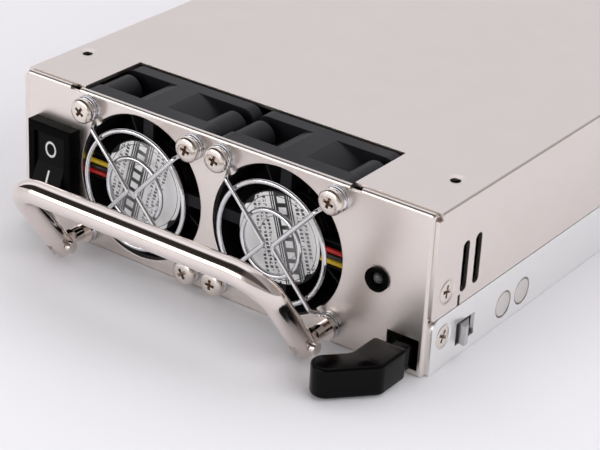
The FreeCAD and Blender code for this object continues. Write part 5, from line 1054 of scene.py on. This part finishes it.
@dataclass
class FanLabel:
    """Round label on a motor base, with plain banded print.

    Attributes:
        centre: place of the fan's middle across the case.
        turn: turn of the print in degrees.
        radius: radius of the disc.
        thickness: thickness of the disc.
        face: front of the motor base.
        dips: where the rim dips, in degrees round the disc.
        dip_half: half width of a dip in degrees.
        dip_depth: depth of a dip.
        band: middle of the ruled band.
        band_halves: half widths of its ruled part, its solid part and its blocks.
        rows: middle and half width of each group of rows.
        rim_inset: distance of the rim line from the edge.
        hub: radius of the hub line.
    """

    centre: float
    turn: float
    radius: float = 11.3
    thickness: float = 0.15
    face: float = FRONT + 1.15
    dips: tuple[float, float] = (140.0, 320.0)
    dip_half: float = 10.0
    dip_depth: float = 0.9
    band: float = -2.6
    band_halves: tuple[float, float, float] = (3.1, 1.75, 1.1)
    rows: tuple[tuple[float, float], ...] = ((3.4, 2.2), (-7.4, 1.3))
    rim_inset: float = 0.9
    hub: float = 5.4

    def build(self, name: str) -> Object:
        """Make the thin disc, with a shallow dip at two places of its rim."""
        outline = []
        for degrees in range(0, 360, 2):
            angle = math.radians(degrees)
            dip = max(math.cos(math.radians(degrees - place) * 90.0 / self.dip_half)
                      if abs(degrees - place) < self.dip_half else 0.0 for place in self.dips)
            reach = self.radius - self.dip_depth * max(dip, 0.0)
            outline.append(Vector((reach * math.cos(angle), reach * math.sin(angle))))
        disc = bevelled(prism(name, outline, 0.0, self.thickness), 0.03, 2)
        return aimed(disc, Axis.FORWARD, point(self.centre, self.face + self.thickness, FAN_HEIGHT))

    def material(self, name: str) -> Material:
        """Print: a rim line, a ruled band, blocks and rows of short marks."""
        made, nodes, shader = new_material(name)
        place = nodes.add("ShaderNodeTexCoord").outputs["Object"]
        mapped = nodes.add("ShaderNodeMapping", {"vector_type": "TEXTURE"}, Vector=place,
                           Location=point(self.centre, 0, FAN_HEIGHT), Scale=(MM, MM, MM),
                           Rotation=(0, math.radians(self.turn), 0))
        parts = nodes.add("ShaderNodeSeparateXYZ", None, Vector=mapped.outputs[0])
        u, v = parts.outputs[0], parts.outputs[2]
        radius = nodes.math("SQRT", nodes.math("ADD", nodes.times(u, u), nodes.times(v, v)))

        def stripe(value: object, middle: float, half: float) -> Socket:
            """One line of a half width about a middle."""
            away = nodes.math("ABSOLUTE", nodes.math("SUBTRACT", value, middle))
            return nodes.ramp(away, half + 0.05, half - 0.05)

        def rule(value: object, period: float, share: float) -> Socket:
            """Lines that repeat at a period and fill a share of it."""
            phase = nodes.math("FRACT", nodes.math("DIVIDE", value, period))
            away = nodes.math("ABSOLUTE", nodes.math("SUBTRACT", phase, 0.5))
            return nodes.ramp(away, share / 2 + 0.04, share / 2 - 0.04)

        ruled, solid, blocks = (stripe(u, self.band, half) for half in self.band_halves)
        ruled = nodes.times(ruled, rule(u, 0.62, 0.68))
        solid = nodes.math("MAXIMUM", ruled, solid)
        blocks = nodes.times(blocks, rule(v, 2.7, 0.62))
        band_ink = nodes.times(solid, nodes.math("SUBTRACT", 1.0, blocks))
        marks = nodes.times(nodes.times(rule(u, 1.5, 0.6), rule(v, 0.95, 0.66)),
                            nodes.ramp(nodes.noise(mapped.outputs[0], 0.8, 1.0), 0.42, 0.48))
        rows = nodes.times(marks, nodes.math("ADD", *(stripe(u, middle, half) for middle, half in self.rows)))
        rim = stripe(radius, self.radius - self.rim_inset, 0.09)
        hub = nodes.times(stripe(radius, self.hub, 0.12), 0.6)
        ink = nodes.math("MAXIMUM", nodes.math("MAXIMUM", band_ink, rows), nodes.math("MAXIMUM", rim, hub),
                         clamp=True)
        colour = nodes.mix(ink, LABEL_PAPER.tone, Ink.DARK.value)
        LABEL_PAPER.wire(nodes, shader, colour)
        return made


@dataclass
class FanPair:
    """Labels of both fans."""

    turns: tuple[float, float] = (14.0, 164.0)

    def dress(self) -> None:
        """Put the labels on their motor bases."""
        for number, (centre, turn) in enumerate(zip(FAN_CENTRES, self.turns), start=1):
            label = FanLabel(centre, turn)
            obj = label.build("fan_%d_label" % number)
            put(obj, "chassis", label.material("fan_%d_print" % number), ("fan_labels",))


@dataclass
class PowerSwitch:
    """White marks on the two flats of the rocker."""

    centre: float = -48.5
    height: float = 18.9
    half_turn: float = 11.0
    pivot_y: float = FRONT - 1.0
    valley: float = 1.9
    mark_offset: float = 3.7
    mark_rise: float = 0.03

    def face_matrix(self, side: int) -> Matrix:
        """Frame of one flat: +Z out of it, +Y up it, and its middle at the origin."""
        turn = math.radians(self.half_turn)
        valley = self.valley * math.cos(turn)
        offset = self.mark_offset
        middle = Vector((0, -valley - offset * math.sin(turn), side * offset * math.cos(turn)))
        upward = Vector((0, -side * math.sin(turn), math.cos(turn)))
        across = Vector((1, 0, 0))
        outward = across.cross(upward)
        flat = Matrix((across, upward, outward)).transposed().to_4x4()
        tip = Matrix.Rotation(-turn, 4, "X")
        spot = Matrix.Translation(point(self.centre, self.pivot_y, self.height))
        return spot @ tip @ Matrix.Translation(middle * MM) @ flat

    def ring_mark(self) -> Object:
        """Thin raised ring for off."""
        top = self.mark_rise
        low = top - 0.01
        profile = [(1.35, 0.0), (1.35, low), (1.42, top), (1.83, top), (1.9, low), (1.9, 0.0), (1.35, 0.0)]
        mark = turned("off_mark", profile, 48)
        mark.data.transform(Matrix.Diagonal((0.92, 1.12, 1.0, 1.0)))
        mark.data.transform(self.face_matrix(1))
        return mark

    def bar_mark(self) -> Object:
        """Thin raised bar for on."""
        outline = rounded_outline([(-0.27, -1.9), (0.27, -1.9), (0.27, 1.9), (-0.27, 1.9)], (0.15,) * 4, 4)
        mark = prism("on_mark", outline, 0.0, self.mark_rise)
        mark.data.transform(self.face_matrix(-1))
        return mark

    def dress(self) -> None:
        """Put the marks on the rocker."""
        finish = finished("white_print")
        for mark in (self.ring_mark(), self.bar_mark()):
            put(mark, "rocker", finish)


@dataclass
class Studio:
    """Floor, lights, background and camera.

    Attributes:
        eye: place of the camera, in millimetres.
        right: direction to the right of the picture.
        down: direction down the picture.
        ahead: direction of view.
        focal_pixels: focal length in pixels of the picture.
        image_width: width of the picture in pixels.
        sensor: width of the sensor in millimetres.
        aim: place that all lights face, in metres.
        floor_half: half the width of the table top, in metres.
        floor_drop: how far it lies under the case, in metres.
        backdrop: colour of the table top.
        backdrop_patches: colour that it drifts toward.
        horizon: tone of the surroundings low in front.
        band: tone of the dark band over it.
        overhead: tone above.
        behind: tone behind and past the zenith.
        shade: tone that the right side turns toward.
    """

    eye: Place = (247.56, -421.597, 226.468)
    right: Place = (0.806019243, 0.589943711, 0.047952042)
    down: Place = (0.303741028, -0.342732649, -0.888974532)
    ahead: Place = (-0.508010204, 0.731095582, -0.455439221)
    focal_pixels: float = 1966.645
    image_width: float = 600.0
    sensor: float = 36.0
    aim: Place = (0.0, -0.08, 0.0)
    floor_half: float = 3.0
    floor_drop: float = 0.0002
    backdrop: Colour = (0.86, 0.845, 0.875)
    backdrop_patches: Colour = (0.88, 0.86, 0.89)
    horizon: Colour = (0.86, 0.84, 0.83)
    band: Colour = (0.03, 0.026, 0.025)
    overhead: Colour = (1.05, 1.04, 1.08)
    behind: Colour = (0.78, 0.77, 0.81)
    shade: Colour = (0.14, 0.12, 0.11)

    def camera(self) -> None:
        """Set the camera where the photograph was taken."""
        data = bpy.data.cameras.new("camera")
        data.lens = self.focal_pixels * self.sensor / self.image_width
        data.sensor_width = self.sensor
        data.clip_start = 0.01
        data.clip_end = 20.0
        obj = link("camera", data, None)
        axes = Matrix((self.right, -Vector(self.down), -Vector(self.ahead)))
        obj.matrix_world = Matrix.Translation(point(*self.eye)) @ axes.transposed().to_4x4()
        bpy.context.scene.camera = obj

    def floor(self) -> None:
        """Lay the pale table top."""
        shape = bmesh.new()
        bmesh.ops.create_grid(shape, x_segments=2, y_segments=2, size=self.floor_half)
        obj = make_object("table_top", shape)
        obj.location.z = -self.floor_drop
        finish = Finish(self.backdrop, self.backdrop_patches, 0.5, spread=0.03, bump=0.0, drift=0.1,
                        edge=0.0001)
        obj.data.materials.append(finish.material("table"))

    def light(self, name: str, spot: Place, size: tuple[float, float], power: float,
              tint: Colour = (1.0, 1.0, 1.0), mirrored: bool = False) -> None:
        """Hang one soft panel of light.

        Args:
            name: name of the light.
            spot: where it hangs, in metres.
            size: width and height in metres.
            power: power in watts.
            tint: colour of the light.
            mirrored: whether metal shows the panel itself.
        """
        data = bpy.data.lights.new(name, "AREA")
        data.shape = "RECTANGLE"
        data.size, data.size_y = size
        data.energy = power
        data.color = tint
        obj = link(name, data, None)
        obj.location = spot
        obj.rotation_euler = (Vector(self.aim) - Vector(spot)).to_track_quat("-Z", "Y").to_euler()
        obj.visible_glossy = mirrored

    def lights(self) -> None:
        """Hang the lights: broad above, one from the left, one low in front, a fill from the right."""
        self.light("top_panel", (0.1, 0.6, 1.6), (2.6, 2.0), 13.5)
        self.light("left_panel", (-1.5, 0.0, 0.7), (1.6, 1.2), 3.0)
        self.light("front_panel", (-0.4, -1.15, 0.42), (1.3, 0.5), 3.7, mirrored=True)
        self.light("right_panel", (1.3, -0.1, 0.7), (1.6, 1.2), 15.5, (0.96, 0.98, 1.0))

    def world(self) -> None:
        """Pale surroundings with one dark band, which polished metal reflects as a dark line."""
        world = bpy.data.worlds.new("studio")
        world.use_nodes = True
        tree = world.node_tree
        tree.nodes.clear()
        nodes = Nodes(tree)
        place = nodes.add("ShaderNodeTexCoord").outputs["Generated"]
        parts = nodes.add("ShaderNodeSeparateXYZ", None, Vector=place)
        rise = nodes.math("ARCTAN2", parts.outputs[2], nodes.times(parts.outputs[1], -1.0))

        def between(start: float, end: float) -> Socket:
            """How far a direction lies between two angles over the front horizon, in degrees."""
            return nodes.ramp(rise, math.radians(start), math.radians(end))

        ahead = nodes.mix(between(40, 32), self.band, self.horizon)
        above = nodes.mix(between(112, 136), self.overhead, self.behind)
        arch = nodes.mix(between(84, 100), ahead, above)
        right_side = nodes.ramp(parts.outputs[0], 0.1, 0.35, 0.0, 0.65)
        mood = nodes.mix(right_side, arch, self.shade)
        background = nodes.add("ShaderNodeBackground", None, Color=mood, Strength=1.0)
        output = nodes.add("ShaderNodeOutputWorld")
        tree.links.new(background.outputs[0], output.inputs[0])
        bpy.context.scene.world = world

    def dress(self) -> None:
        """Set up everything round the object."""
        self.world()
        self.floor()
        self.lights()
        self.camera()
        scene = bpy.context.scene
        scene.view_settings.view_transform = "Standard"
        scene.view_settings.look = "None"


@dataclass
class Frame:
    """The CAD nodes, each with its finish."""

    nodes: dict[str, Object]

    def dress(self) -> None:
        """Give every CAD node its material."""
        done = set()
        for name, (_, members) in FINISHES.items():
            for member in members:
                mesh = self.nodes[member].data
                mesh.materials.clear()
                mesh.materials.append(finished(name))
                done.add(member)
        log.info("nodes with a finish: %d of %d", len(done), len(self.nodes))


def main() -> None:
    """Build the scene."""
    logging.basicConfig(level=logging.INFO)
    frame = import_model()
    Frame(frame["nodes"]).dress()
    for kind in (CaseScrews, RailRivets, FingerGuards, BailHandle, ThumbLatch, FanPair, PowerSwitch, Studio):
        kind().dress()
        log.info("dressed %s", kind.__name__)


if __name__ == "__main__":
    main()
